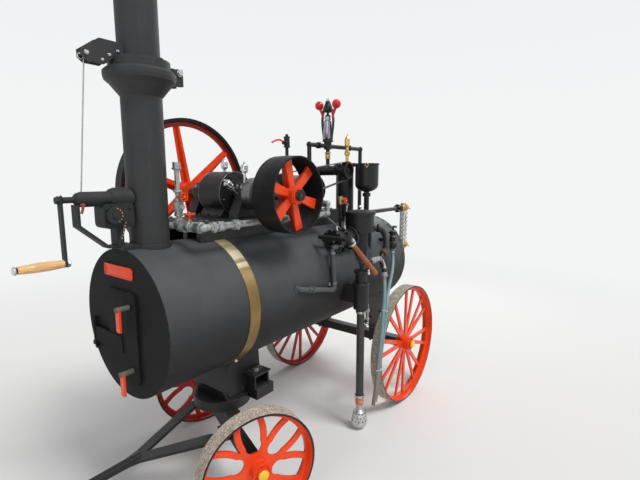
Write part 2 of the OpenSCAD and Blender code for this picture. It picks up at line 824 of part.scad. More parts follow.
// Ferrule that holds the upper end of the pump lever
module lever_socket() {
  d = lever_q - lever_p;
  translate(lever_p)
    rotate([0, acos(d[2] / norm(d)), atan2(d[1], d[0])])
      rotate_extrude()
        polygon([
          [0, -24], [21, -24], [21, 40], [lever_r + 1.2, 40], [lever_r + 1.2, -seat], [0, -seat]
        ]);
}

// Hand pump on the barrel's side with its foot, head and outlet pipe
module hand_pump() {
  color("#26282a")
    difference() {
      union() {
        bar_z(hand_x, hand_y, 780, 150, 46);
        bar_z(hand_x, hand_y, 930, 80, 34);
        bar_z(hand_x, hand_y, 1000, 14, 44);
        bar_z(hand_x, hand_y, 1014, 50, 12);
        box(hand_x - 40, 200, 820, 80, hand_y - 200, 90);
        bar_x(hand_x - 227, hand_y, 1052, 232, 13);
        bend([hand_x - 227, hand_y, 1052], 18);
        bar([hand_x - 227, hand_y, 1052], [-657, 431, 1079], 15);
        bar([hand_x - 227, hand_y, 1052], [hose_a_x, hose_a_y, 985], 13);
        bend([hose_a_x, hose_a_y, 985], 18);
        bar_z(hose_a_x, hose_a_y, 966, 20, 16);
        bar_z(hand_x - 60, hand_y + 10, 690, 110, 9);
        bar_x(hand_x - 60, hand_y + 10, 800, 60, 9);
        bend([hand_x - 60, hand_y + 10, 800], 10);
        bend([hand_x - 60, hand_y + 10, 690], 12);
        bar_x(hand_x - 60, hand_y + 10, 690, 34, 9);
      }
      barrel_cut();
      bar_z(hand_x, hand_y, 700, 110, 24 + seat);
    }
}

// Wooden pump lever and the grip on the winch's crank
module wood_handles() {
  color("#b5622f")
    union() {
      bar(lever_p, lever_q, lever_r, lever_r + 7);
      translate([crank_grip_x, 0, winch_z - crank_arm])
        rotate([0, 90, 0])
          rotate_extrude()
            polygon([[8 + seat, 0], [15, 0], [18, 50], [18, 100], [14, 150], [8 + seat, 150]]);
    }
}

module suction_pipe() {
  color("#1f2022")
    union() {
      bar_z(hand_x, hand_y, strainer_top, 810 - strainer_top, 24);
      for (z = [strainer_top + 4, 752])
        bar_z(hand_x, hand_y, z, 14, 28);
    }
}

// Bell strainer with its coupling at the foot of the suction pipe
module suction_strainer() {
  color("#b9bcbf")
    translate([hand_x, hand_y, strainer_low])
      rotate_extrude()
        polygon([
          [0, 0], [38, 0], [46, 6], [48, 20], [44, 60], [34, 92], [22, 104], [20, 108],
          [20, strainer_top - strainer_low], [0, strainer_top - strainer_low]
        ]);
}

// Ribbed hose bend from the tank down to the hand pump's outlet
module ribbed_hose() {
  color("#1f2022")
    tube(ribbed_pts, 15, 12);
}

// Swept tube of round section along a list of points
module tube(pts, r, sides) {
  n = len(pts);
  dirs = [for (i = [0:n - 1]) unit(pts[min(i + 1, n - 1)] - pts[max(i - 1, 0)])];
  verts = [
    for (i = [0:n - 1])
      let (t = dirs[i], u = unit(cross(t, [1, 0.2, 0.1])), v = cross(t, u))
        for (k = [0:sides - 1])
          pts[i] + r * (cos(k * 360 / sides) * u + sin(k * 360 / sides) * v)
  ];
  faces = concat(
    [[for (k = [0:sides - 1]) k]],
    [
      for (i = [0:n - 2])
        for (k = [0:sides - 1])
          let (a = i * sides + k, b = i * sides + (k + 1) % sides)
            [a, a + sides, b + sides, b]
    ],
    [[for (k = [sides - 1:-1:0]) (n - 1) * sides + k]]
  );
  polyhedron(points = verts, faces = faces, convexity = 4);
}
function unit(v) = v / norm(v);

module delivery_hose() {
  color("#7fa9ad")
    tube(hose_a, 12, 10);
}

module drain_hose() {
  color("#7fa9ad")
    tube(hose_b, 12, 10);
}

// Reflex water gauge at the backhead with its bolted frame
module water_gauge() {
  color("#c9ccce")
    difference() {
      box(gauge_x - 17, gauge_y - 20, gauge_z, 34, 40, gauge_h);
      box(gauge_x - 7, gauge_y + 14, gauge_z + 24, 14, 12, gauge_h - 48);
    }
}

// Gauge cocks, their pipe along the shoulder and the check valve's body
module gauge_pipework() {
  color("#2b2d2f")
    difference() {
      union() {
        bar_x(gauge_x, gauge_y, gauge_z + gauge_h + 26, tank_x - gauge_x - 150, 14);
        bend([gauge_x, gauge_y, gauge_z + gauge_h + 26], 16);
        bar_z(gauge_x, gauge_y, gauge_z + gauge_h, 26, 11);
        bar_x(gauge_x + 90, gauge_y, gauge_z + gauge_h + 26, 14, 30);
        bend([tank_x - 150, gauge_y, gauge_z + gauge_h + 26], 14);
        bar_z(tank_x - 150, gauge_y, boiler_z, gauge_z + gauge_h + 26 - boiler_z, 14);
        bar_z(gauge_x, gauge_y, gauge_z - 40, 40, 11);
        bend([gauge_x, gauge_y, gauge_z - 40], 14);
        bar_x(gauge_x, gauge_y, gauge_z - 40, barrel_rear - gauge_x - seat, 11);
        bar_z(check_x, check_y, 1060, 40, 14);
        translate([check_x, check_y, 1100]) sphere(r = 34);
        bar_z(check_x, check_y, 1100, 80, 22);
        bar_z(check_x, check_y, 1180, 14, 30);
        bar_z(check_x, check_y, 1190, 40, 7);
        bar_x(check_x - 22, check_y, 1226, 44, 6);
        bar_y(check_x, 200, 1130, check_y - 200, 13);
        bar_z(side_valve[0], side_valve[1], boiler_z + 150, side_valve[2] - boiler_z - 120, 9);
        bar_z(side_valve[0], side_valve[1], side_valve[2] - 24, 48, 15);
        bar_y(side_valve[0], side_valve[1], side_valve[2], 34, 7);
      }
      barrel_cut();
    }
}

// Firehole door on the backhead with its two straps
module fire_door() {
  color("#232527")
    union() {
      bar_x(barrel_rear - 14, 0, boiler_z - 40, 13.5, fire_r + 24);
      bar_z(barrel_rear - fire_out, fire_hinge_y, fire_hinge_z - 64, 128, 7);
      bar_z(barrel_rear - fire_out, fire_hinge_y, fire_hinge_z - 43, 86, 9);
      for (z = [-36, 14])
        box(barrel_rear - 17, -60, fire_hinge_z + z, 7.5, fire_hinge_y + 60, 22);
      translate([barrel_rear - 10, -fire_r * 0.75, boiler_z - 40])
        rotate([0, -90, 0])
          rotate_extrude()
            polygon([[0, 0], [9, 0], [7, 8], [7, 30], [14, 38], [15, 46], [11, 54], [0, 57]]);
    }
}

// Square rear axle hung under the barrel by two brackets
module rear_axle() {
  inner = rear_half - rear_w - 14;
  color("#2b2d2f")
    union() {
      box(rear_x - 30, -inner, rear_r - 30, 60, 2 * inner, 60);
      bar_y(rear_x, -rear_half - 10, rear_r, 2 * rear_half + 20, stub_r);
      for (s = [-1, 1])
        difference() {
          translate([0, s * 235 + 7, 0])
            rotate([90, 0, 0])
              linear_extrude(height = 14)
                polygon([
                  [rear_x - 60, rear_r + 29], [rear_x + 60, rear_r + 29],
                  [rear_x + 150, boiler_z - 180], [rear_x - 150, boiler_z - 180]
                ]);
          barrel_cut();
        }
    }
}

// Saddle behind the brass band with the turntable's upper ring
module front_saddle() {
  color("#2b2d2f")
    difference() {
      union() {
        bar_z(front_x, 0, turn_z, 26, turn_r);
        translate([0, 125, 0])
          rotate([90, 0, 0])
            linear_extrude(height = 250)
              polygon([
                [front_x - 170, turn_z + 25], [front_x + 70, turn_z + 25], [front_x + 100, turn_z + 90],
                [front_x + 20, boiler_z - 240], [front_x - 150, boiler_z - 240]
              ]);
        box(front_x - 185, -205, turn_z + 1, 125, 410, 58);
        for (s = [0, 1])
          mirror([0, s, 0])
            difference() {
              union() {
                box(front_x - 158, 110, turn_z + 58, 104, 88, 74);
                box(front_x - 166, 105, turn_z + 131, 120, 100, 7);
              }
              box(front_x - 150, 140, turn_z + 66, 88, 80, 58);
            }
      }
      barrel_cut();
      bar_x(band_x - band_w - 6, 0, boiler_z, 400, boiler_r + 12);
      bar_z(front_x, 0, turn_z - 10, 80, king_r + run_c);
    }
}

// Hand winch on its bent bracket in front of the chimney
module winch() {
  color("#3a3c3e")
    difference() {
      union() {
        translate([winch_x, 0, winch_z])
          rotate([0, 90, 0])
            rotate_extrude()
              polygon([
                [0, -30], [40, -30], [44, -20], [44, 60], [38, 76], [30, 84], [30, 190], [25, 206],
                [15, 215], [0, 215]
              ]);
        bar_x(winch_x + 215 - lap, 0, winch_z, crank_grip_x - winch_x - 215, 12);
        translate([winch_x + 60, 42, winch_z - 70])
          rotate([90, 0, 0])
            linear_extrude(height = 84)
              rounded(124, 100, 20);
        bar_y(winch_x + 70, -52, winch_z - 66, 110, 36);
        box(winch_x + 40, -26, boiler_top + 16, 30, 52, winch_z - 110 - boiler_top - 16);
        translate([0, 26, 0])
          rotate([90, 0, 0])
            linear_extrude(height = 52)
              polygon([
                [winch_x - 20, boiler_top + 6], [winch_x + 105, boiler_top + 10],
                [winch_x + 215, boiler_top + 106], [winch_x + 215, winch_z - 20],
                [winch_x + 205, winch_z - 20], [winch_x + 205, boiler_top + 112],
                [winch_x + 100, boiler_top + 20], [winch_x - 20, boiler_top + 16]
              ]);
        box(winch_x - 30, -50, boiler_top - 30, 90, 100, 46);
        box(crank_grip_x - 12, -13, winch_z - crank_arm - 12, 10, 26, crank_arm + 26);
        bar_x(crank_grip_x - 3, 0, winch_z - crank_arm, 160, 8);
        bar_x(crank_grip_x + 156, 0, winch_z - crank_arm, 5, 15);
      }
      barrel_cut();
      bar_z(chimney_x, 0, boiler_z, 600, chimney_r + 8 + seat);
    }
}

// Smokebox door with rounded corners and one wide hinge on the far side
module smokebox_door() {
  color("#2b2d2f")
    union() {
      translate([face_x + door_gap, hatch_y, hatch_z])
        rotate([0, 90, 0])
          linear_extrude(height = door_t)
            rounded(hatch_h + 44, hatch_w + 44, 30);
      box(face_x + door_gap + door_t - lap, hinge_y, hinge_z - 36, 7, hatch_y - hinge_y, 72);
      bar_z(face_x + door_gap + door_t, hinge_y, hinge_z - 36, 72, 11);
      bar_z(face_x + door_gap + door_t, hinge_y, hinge_z - 60, 130, 6);
      bend([face_x + door_gap + door_t, hinge_y, hinge_z - 67], 9);
    }
}
// Rectangle with round corners, from two bars and four discs
module rounded(l, w, r) {
  union() {
    square([l - 2 * r, w], center = true);
    square([l, w - 2 * r], center = true);
    for (sx = [-1, 1], sy = [-1, 1])
      translate([sx * (l / 2 - r), sy * (w / 2 - r)]) circle(r = r);
  }
}

// Turning catches that hold the smokebox door
module door_catches() {
  x = face_x + door_gap + door_t;
  color("#d8431f")
    for (z = catch_z)
      union() {
        bar_x(x, catch_y, z, 58, 11);
        box(x + 42, catch_y - 13, z - 96, 10, 26, 100);
      }
}

// Turntable ring, bolster, square axle and kingpin of the steered front axle
module fore_carriage() {
  inner = front_half - front_w - 14;
  color("#2b2d2f")
    translate([front_x, 0, 0])
      rotate([0, 0, park_deg])
        difference() {
          union() {
            bar_z(0, 0, turn_z - 27, 27 - seat, turn_r);
            bar_z(0, 0, turn_z - 20, 84, king_r);
            box(-34, -200, front_r + 26, 68, 400, turn_z - 26 - front_r - 26);
            box(-30, -inner, front_r - 30, 60, 2 * inner, 60);
            bar_y(0, -front_half - 10, front_r, 2 * front_half + 20, stub_r);
            for (s = [-1, 1])
              box(26, s * hinge_half - 30, front_r - 10, 56, 12, 56);
            for (s = [-1, 1])
              box(26, s * hinge_half + 18, front_r - 10, 56, 12, 56);
          }
          bar_y(pin_out, -hinge_half - 40, front_r + 18, 2 * hinge_half + 80, 9 + run_c);
        }
}

// Drawbar of two tapered flat arms and a pole that rests on the ground at its eye
module drawbar() {
  run = fork_l - pin_out;
  drop = front_r + 18 - fork_z;
  slope = atan(drop / run);
  color("#2b2d2f")
    translate([front_x, 0, 0])
      rotate([0, 0, park_deg])
        difference() {
          union() {
            translate([pin_out, 0, front_r + 18])
              rotate([0, slope, 0])
                translate([0, 0, -8])
                  linear_extrude(height = 16)
                    fork_outline(run / cos(slope));
            for (s = [-1, 1])
              union() {
                bar_y(pin_out, s * hinge_half - 17, front_r + 18, 34, 20);
                bar_y(pin_out, s * hinge_half - 36, front_r + 18, 72, 9);
              }
            bar([fork_l - 30, 0, fork_z + 8], [drawbar_l - 34, 0, 24], 24, 19);
            translate([drawbar_l, 0, 0.5])
              rotate_extrude()
                polygon([[0, 0], [46, 0], [52, 6], [52, 34], [46, 40], [0, 40]]);
          }
          bar_z(drawbar_l, 0, -10, 80, eye_r);
        }
}
// Outline of the drawbar's two arms, open between them, from their knuckles to the length l
module fork_outline(l) {
  h = hinge_half;
  polygon([
    [-5, h + 14], [28, h + 14], [70, h + 30], [l - 20, 44], [l + 50, 26], [l + 50, -26],
    [l - 20, -44], [70, -h - 30], [28, -h - 14], [-5, -h - 14], [-5, -h + 14], [28, -h + 14],
    [64, -h + 44], [l - 60, 0], [64, h - 44], [28, h - 14], [-5, h - 14]
  ]);
}

// Rear wheel with paired flat spokes, axis along Y, outer face at y = w
module rear_wheel(r, w) {
  difference() {
    union() {
      rotate([-90, 0, 0])
        rotate_extrude($fn = 96)
          polygon([
            [r - 12, 0], [r, 0], [r, w], [r - 12, w], [r - 14, w / 2 + 8],
            [r - 34, w / 2 + 7], [r - 34, w / 2 - 7], [r - 14, w / 2 - 8]
          ]);
      bar_y(0, -8, 0, w + 16, 46);
      bar_y(0, w + 8 - lap, 0, 14, 30);
      for (i = [0:rear_pairs - 1])
        for (s = [-1, 1])
          rotate([0, i * 360 / rear_pairs + rear_turn, 0])
            translate([0, w / 2 + 6, 0])
              rotate([90, 0, 0])
                linear_extrude(height = 12)
                  spoke_shape(40, r - 32, s * rear_spread, 15);
    }
    bar_y(0, -20, 0, w + 32, stub_r + run_c);
  }
}
// Flat spoke from the hub at radius a to the rim at radius b, swung by angle t
module spoke_shape(a, b, t, h) {
  polygon([
    [a * sin(t * 0.25) - h, a], [a * sin(t * 0.25) + h, a],
    [b * sin(t) + h * 0.75, b * cos(t)], [b * sin(t) - h * 0.75, b * cos(t)]
  ]);
}

// Front wheel with forked spokes, axis along Y, outer face at y = w
module front_wheel(r, w) {
  difference() {
    union() {
      rotate([-90, 0, 0])
        rotate_extrude($fn = 80)
          polygon([
            [r - 12, 0], [r, 0], [r, w], [r - 12, w], [r - 14, w / 2 + 8],
            [r - 32, w / 2 + 7], [r - 32, w / 2 - 7], [r - 14, w / 2 - 8]
          ]);
      bar_y(0, -8, 0, w + 16, 44);
      bar_y(0, w + 8 - lap, 0, 14, 28);
      translate([0, w / 2 + 6, 0])
        rotate([90, 0, 0])
          linear_extrude(height = 12)
            front_web(r - 30);
    }
    bar_y(0, -20, 0, w + 32, stub_r + run_c);
  }
}
// Web of a front wheel inside the radius r: curved forks left between two kinds of gap
module front_web(r) {
  pitch = 360 / front_forks;
  difference() {
    circle(r = r);
    for (i = [0:front_forks - 1])
      rotate(-i * pitch - front_turn)
        union() {
          rotate(-pitch / 2) wide_gap(r);
          fork_gap(r, pitch);
        }
  }
}
// Gap between two forks, with bowed sides and a round bottom
module wide_gap(r) {
  side = gap_bow - gap_w;
  union() {
    translate([0, gap_low + gap_r]) circle(r = gap_r);
    intersection() {
      translate([-2 * gap_w, gap_low + gap_r]) square([4 * gap_w, r]);
      translate([-side, gap_mid]) circle(r = gap_bow);
      translate([side, gap_mid]) circle(r = gap_bow);
    }
  }
}
// Gap between the two branches of a fork
module fork_gap(r, pitch) {
  difference() {
    polygon([[0, gap_low + 20], [-r * 0.4, r + 20], [r * 0.4, r + 20]]);
    for (s = [-1, 1])
      rotate(-s * pitch / 2)
        translate([s * (gap_bow - gap_w), gap_mid])
          circle(r = gap_bow + branch_w);
  }
}

module rear_wheel_left() {
  color("#d8431f")
    translate([rear_x, rear_half - rear_w, rear_r]) rear_wheel(rear_r, rear_w);
}
module rear_wheel_right() {
  color("#d8431f")
    translate([rear_x, 0, rear_r])
      mirror([0, 1, 0])
        translate([0, rear_half - rear_w, 0]) rear_wheel(rear_r, rear_w);
}
module front_wheel_left() {
  color("#d8431f")
    translate([front_x, 0, front_r])
      rotate([0, 0, park_deg])
        translate([0, front_half - front_w, 0]) front_wheel(front_r, front_w);
}
module front_wheel_right() {
  color("#d8431f")
    translate([front_x, 0, front_r])
      rotate([0, 0, park_deg])
        mirror([0, 1, 0])
          translate([0, front_half - front_w, 0]) front_wheel(front_r, front_w);
}

boiler_barrel();
boiler_band();
chimney_base();
engine_bed();
crank_guard();
steam_cylinder();
motion_rods();
steam_dome();
governor_stand();
governor_belt();
safety_valve();
exhaust_pipe();
valve_handles();
oil_cups();
lubricator_pot();
feed_tank();
feed_pump();
hand_pump();
wood_handles();
suction_pipe();
suction_strainer();
ribbed_hose();
delivery_hose();
drain_hose();
water_gauge();
gauge_pipework();
rear_axle();
front_saddle();
winch();
smokebox_door();
door_catches();
fire_door();
upper_chimney();
crankshaft();
flywheel();
belt_pulley();
governor_pulley();
governor_spindle();
governor_balls();
fore_carriage();
drawbar();
rear_wheel_left();
rear_wheel_right();
front_wheel_left();
front_wheel_right();
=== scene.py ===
"""Looks of a small portable steam engine: a dark horizontal boiler on spoked orange wheels.

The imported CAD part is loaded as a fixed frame. Every sub-assembly below dresses its own nodes
and adds the small pieces that the solids leave out. Lengths are in metres, +X points forward,
+Y to the engine's left and +Z up.
"""

import logging
import math
import random
from collections.abc import Callable
from dataclasses import dataclass, field
from enum import Enum

import bmesh
import bpy
from mathutils import Matrix, Vector

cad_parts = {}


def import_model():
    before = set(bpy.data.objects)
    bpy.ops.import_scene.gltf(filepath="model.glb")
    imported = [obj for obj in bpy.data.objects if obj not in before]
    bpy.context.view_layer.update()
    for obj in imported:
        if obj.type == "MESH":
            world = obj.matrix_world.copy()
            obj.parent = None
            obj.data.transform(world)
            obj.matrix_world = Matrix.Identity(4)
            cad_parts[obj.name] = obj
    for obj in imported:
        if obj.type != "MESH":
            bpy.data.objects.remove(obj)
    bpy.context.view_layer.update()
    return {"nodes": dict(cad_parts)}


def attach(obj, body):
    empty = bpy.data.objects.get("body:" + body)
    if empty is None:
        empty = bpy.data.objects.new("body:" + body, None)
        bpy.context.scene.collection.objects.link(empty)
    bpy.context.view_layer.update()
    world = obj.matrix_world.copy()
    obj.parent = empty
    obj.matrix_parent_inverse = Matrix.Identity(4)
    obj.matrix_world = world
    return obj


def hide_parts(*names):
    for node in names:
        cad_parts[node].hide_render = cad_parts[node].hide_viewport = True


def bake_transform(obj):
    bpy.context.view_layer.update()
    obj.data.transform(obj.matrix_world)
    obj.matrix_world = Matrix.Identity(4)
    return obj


LOG = logging.getLogger("steam_engine")
Colour = tuple[float, float, float]
Point = tuple[float, float, float]

FORE, LEFT, UP = (1, 0, 0), (0, 1, 0), (0, 0, 1)
AFT, RIGHT, DOWN = (-1, 0, 0), (0, -1, 0), (0, 0, -1)

# Main places and sizes of the CAD part, in metres.
FACE_X = 0.837
BOILER_R = 0.330
BOILER_Z = 0.941
BOILER_L = 2.030
CHIMNEY_X = FACE_X - 0.138
CRANK_X = FACE_X - 0.681
CRANK_Z = 1.481
GOVERNOR_X = FACE_X - 1.450
GOVERNOR_Y = 0.020
SADDLE_TOP = 0.5382
FRONT_AXLE = Vector((FACE_X - 0.510, 0.0, 0.272))
REAR_AXLE = Vector((FACE_X - 1.751, 0.0, 0.408))
PARK = math.radians(-22)

# Colours that several finishes share, the lighter tone first.
DUST = (0.19, 0.175, 0.155)
ENAMEL = ((0.90, 0.072, 0.009), (0.80, 0.052, 0.007))
OIL_BLACK = ((0.009, 0.0095, 0.0105), (0.014, 0.0145, 0.0155))
FACE_TONES = ((0.0085, 0.0088, 0.0092), (0.0105, 0.011, 0.0115))
RED_TONES = ((0.78, 0.010, 0.014), (0.62, 0.007, 0.010))


class Slot(Enum):
    """Material slots of the record that new pieces take their finish from."""

    BLACK = "black_paint"
    BRASS = "brass"
    PIPE = "galvanised_pipe"
    ORANGE = "orange_paint"
    CUPS = "chrome_cups"
    HOSE = "black_hose"
    STEEL = "bright_steel"
    TEAL = "teal_hose"
    MACHINED = "machined_steel"
    RED = "red_paint"


class Wiring:
    """Short way to place and join the nodes of one shader tree."""

    COLOUR_SOCKETS = (0, 6, 7)

    def __init__(self, tree: bpy.types.NodeTree) -> None:
        """Start on an empty tree."""
        self.tree = tree
        tree.nodes.clear()

    def add(self, kind: str, inputs: dict | None = None, **settings: object) -> bpy.types.Node:
        """Place a node.

        Args:
            kind: Blender's node type name, without its leading ShaderNode where it has one.
            inputs: Socket name or number to a value or to an output socket.
            settings: Attributes to set on the node.

        Returns:
            The node.
        """
        node = self.tree.nodes.new(kind if kind.startswith("Node") else "ShaderNode" + kind)
        for name, value in settings.items():
            setattr(node, name, value)
        for key, value in (inputs or {}).items():
            self.feed(node.inputs[key], value)
        return node

    def feed(self, socket: bpy.types.NodeSocket, value: object) -> None:
        """Link an output to the socket, or set the socket to a plain value."""
        if isinstance(value, bpy.types.NodeSocket):
            self.tree.links.new(value, socket)
        else:
            if socket.type == "RGBA" and len(value) == 3:
                value = (*value, 1.0)
            socket.default_value = value

    def math(self, operation: str, a: object, b: object = 0.0, clamp: bool = False) -> object:
        """Work out one sum.

        Args:
            operation: Name of the Math node's operation.
            a: First value or output.
            b: Second value or output.
            clamp: True to keep the answer between 0 and 1.

        Returns:
            The output socket.
        """
        return self.add("Math", {0: a, 1: b}, operation=operation, use_clamp=clamp).outputs[0]

    def plus(self, a: object, b: object, clamp: bool = False) -> object:
        """Sum of two values."""
        return self.math("ADD", a, b, clamp)

    def less(self, a: object, b: object, clamp: bool = False) -> object:
        """First value less the second."""
        return self.math("SUBTRACT", a, b, clamp)

    def times(self, a: object, b: object, clamp: bool = False) -> object:
        """Product of two values."""
        return self.math("MULTIPLY", a, b, clamp)

    def vector(self, operation: str, a: object, b: object = (0.0, 0.0, 0.0)) -> bpy.types.Node:
        """Place a Vector Math node and return it."""
        return self.add("VectorMath", {0: a, 1: b}, operation=operation)

    def band(self, value: object, low: float, high: float) -> object:
        """Rise smoothly from 0 at low to 1 at high, or fall if high is below low.

        Args:
            value: The output that is read.
            low: Value that gives 0.
            high: Value that gives 1.

        Returns:
            The output socket.
        """
        inputs = {"Value": value, "From Min": low, "From Max": high}
        node = self.add("MapRange", inputs, interpolation_type="SMOOTHSTEP")
        return node.outputs["Result"]

    def mix(self, share: object, a: object, b: object) -> object:
        """Mix two colours.

        Args:
            share: Share of the second colour.
            a: First colour.
            b: Second colour.

        Returns:
            The colour output.
        """
        node = self.add("Mix", data_type="RGBA", clamp_factor=True)
        for socket, value in zip(self.COLOUR_SOCKETS, (share, a, b)):
            self.feed(node.inputs[socket], value)
        return node.outputs[2]

    def level(self, share: object, a: object, b: object) -> object:
        """Mix two values, the share of the second given."""
        return self.add("Mix", {0: share, 2: a, 3: b}, data_type="FLOAT").outputs[0]

    def noise(self, place: object, scale: object, detail: float = 3.0, rough: float = 0.5) -> object:
        """Noise of a given scale at a place.

        Args:
            place: Vector output.
            scale: Noise cells per metre.
            detail: Octaves.
            rough: Weight of the finer octaves.

        Returns:
            The factor output, about 0.5 on average.
        """
        inputs = {"Vector": place, "Scale": scale, "Detail": detail, "Roughness": rough}
        return self.add("TexNoise", inputs).outputs["Fac"]

    def coords(self, kind: str = "Object") -> object:
        """Texture coordinates of a kind."""
        return self.add("TexCoord").outputs[kind]

    def parts(self, place: object) -> tuple:
        """X, Y and Z outputs of a vector."""
        return tuple(self.add("SeparateXYZ", {0: place}).outputs)

    def joined(self, x: object, y: object, z: object = 0.0) -> object:
        """Vector output of three parts."""
        return self.add("CombineXYZ", {0: x, 1: y, 2: z}).outputs[0]

    def span(self, x: object, y: object) -> object:
        """Length of a flat vector that is given by its parts."""
        return self.vector("LENGTH", self.joined(x, y)).outputs["Value"]

    def off_axis(self, offset: object, axis: object) -> tuple:
        """Distance from an axis and place along it.

        Args:
            offset: Place less a point of the axis.
            axis: Direction of the axis, of length 1.

        Returns:
            The two outputs.
        """
        along = self.vector("DOT_PRODUCT", offset, axis).outputs["Value"]
        shift = self.add("VectorMath", {0: axis, "Scale": along}, operation="SCALE")
        across = self.vector("SUBTRACT", offset, shift.outputs[0]).outputs[0]
        return self.vector("LENGTH", across).outputs["Value"], along

    def stretched(self, place: object, scale: Point) -> object:
        """The place scaled by its own factor along each axis, for grain and streaks."""
        return self.vector("MULTIPLY", place, scale).outputs[0]


class Effects:
    """Shader node groups that several finishes share. Each is built once."""

    def __init__(self) -> None:
        """Build the groups."""
        self.edge = self._edge_wear()
        self.dust = self._settled_dust()
        self.grain = self._fine_grain()
        self.streaks = self._wipe_streaks()
        self.wheel = self._wheel_zones()

    @staticmethod
    def _group(name: str, inputs: dict, outputs: dict) -> tuple:
        """Open a new group.

        Args:
            name: Name of the group.
            inputs: Name of each input to its default.
            outputs: Name of each output to its socket kind.

        Returns:
            The tree, its wiring, and the sockets given and wanted by name.
        """
        tree = bpy.data.node_groups.new(name, "ShaderNodeTree")
        for label, default in inputs.items():
            kind = "NodeSocketFloat" if isinstance(default, float) else "NodeSocketVector"
            socket = tree.interface.new_socket(label, in_out="INPUT", socket_type=kind)
            socket.default_value = default
        for label, kind in outputs.items():
            tree.interface.new_socket(label, in_out="OUTPUT", socket_type="NodeSocket" + kind)
        w = Wiring(tree)
        return tree, w, w.add("NodeGroupInput").outputs, w.add("NodeGroupOutput").inputs

    def _edge_wear(self) -> bpy.types.NodeTree:
        """Mask of worn edges and the normal with those edges rounded off.

        Returns:
            The group, with Width and Wear in and Mask and Normal out.
        """
        tree, w, given, out = self._group(
            "edge_wear", {"Width": 0.003, "Wear": 0.5}, {"Mask": "Float", "Normal": "Vector"}
        )
        rounded = w.add("Bevel", {"Radius": given["Width"]}, samples=4)
        flat = w.add("NewGeometry")
        turn = w.vector("DOT_PRODUCT", rounded.outputs[0], flat.outputs["Normal"])
        bend = w.less(1.0, turn.outputs["Value"])
        patches = w.noise(w.coords(), 60.0, 4.0, 0.65)
        broken = w.times(w.band(bend, 0.02, 0.12), w.band(patches, 0.42, 0.62))
        w.feed(out["Mask"], w.times(broken, given["Wear"], True))
        w.feed(out["Normal"], rounded.outputs[0])
        return tree

    def _settled_dust(self) -> bpy.types.NodeTree:
        """Mask of dust that lies on upward faces, in loose patches.

        Returns:
            The group, with Amount and Scale in and Mask out.
        """
        tree, w, given, out = self._group(
            "settled_dust", {"Amount": 0.3, "Scale": 9.0}, {"Mask": "Float"}
        )
        up = w.parts(w.coords("Normal"))[2]
        cloud = w.noise(w.coords(), given["Scale"], 6.0, 0.68)
        lying = w.plus(w.times(w.band(up, -0.2, 0.95), 0.75), 0.25)
        loose = w.times(lying, w.band(cloud, 0.35, 0.75))
        w.feed(out["Mask"], w.times(loose, given["Amount"], True))
        return tree

    def _fine_grain(self) -> bpy.types.NodeTree:
        """Small orange-peel height and a slow tone change.

        Returns:
            The group, with Scale in and Height and Tone out.
        """
        tree, w, given, out = self._group(
            "fine_grain", {"Scale": 400.0}, {"Height": "Float", "Tone": "Float"}
        )
        place = w.coords()
        peel = w.noise(place, given["Scale"], 2.0)
        w.feed(out["Height"], w.plus(peel, w.times(w.noise(place, 14.0, 2.0), 0.6)))
        w.feed(out["Tone"], w.band(w.noise(place, 5.0, 5.0, 0.6), 0.3, 0.7))
        return tree

    def _wipe_streaks(self) -> bpy.types.NodeTree:
        """Long faint marks that run down the sides, as from rain and wiping.

        Returns:
            The group, with Amount in and Mask out.
        """
        tree, w, given, out = self._group("wipe_streaks", {"Amount": 0.4}, {"Mask": "Float"})
        place = w.coords()
        drawn = w.noise(w.stretched(place, (26.0, 26.0, 2.2)), 1.0, 5.0, 0.7)
        faded = w.times(w.band(drawn, 0.5, 0.78), w.noise(place, 3.0))
        w.feed(out["Mask"], w.times(faded, given["Amount"], True))
        return tree

    def _wheel_zones(self) -> bpy.types.NodeTree:
        """Distance from a wheel's axis and place along it, for paint that changes by zone.

        Returns:
            The group, with Centre and Axis in and Radius and Along out.
        """
        tree, w, given, out = self._group(
            "wheel_zones", {"Centre": (0.0, 0.0, 0.0), "Axis": (0.0, 1.0, 0.0)},
            {"Radius": "Float", "Along": "Float"},
        )
        offset = w.vector("SUBTRACT", w.coords(), given["Centre"]).outputs[0]
        radius, along = w.off_axis(offset, given["Axis"])
        w.feed(out["Radius"], radius)
        w.feed(out["Along"], along)
        return tree


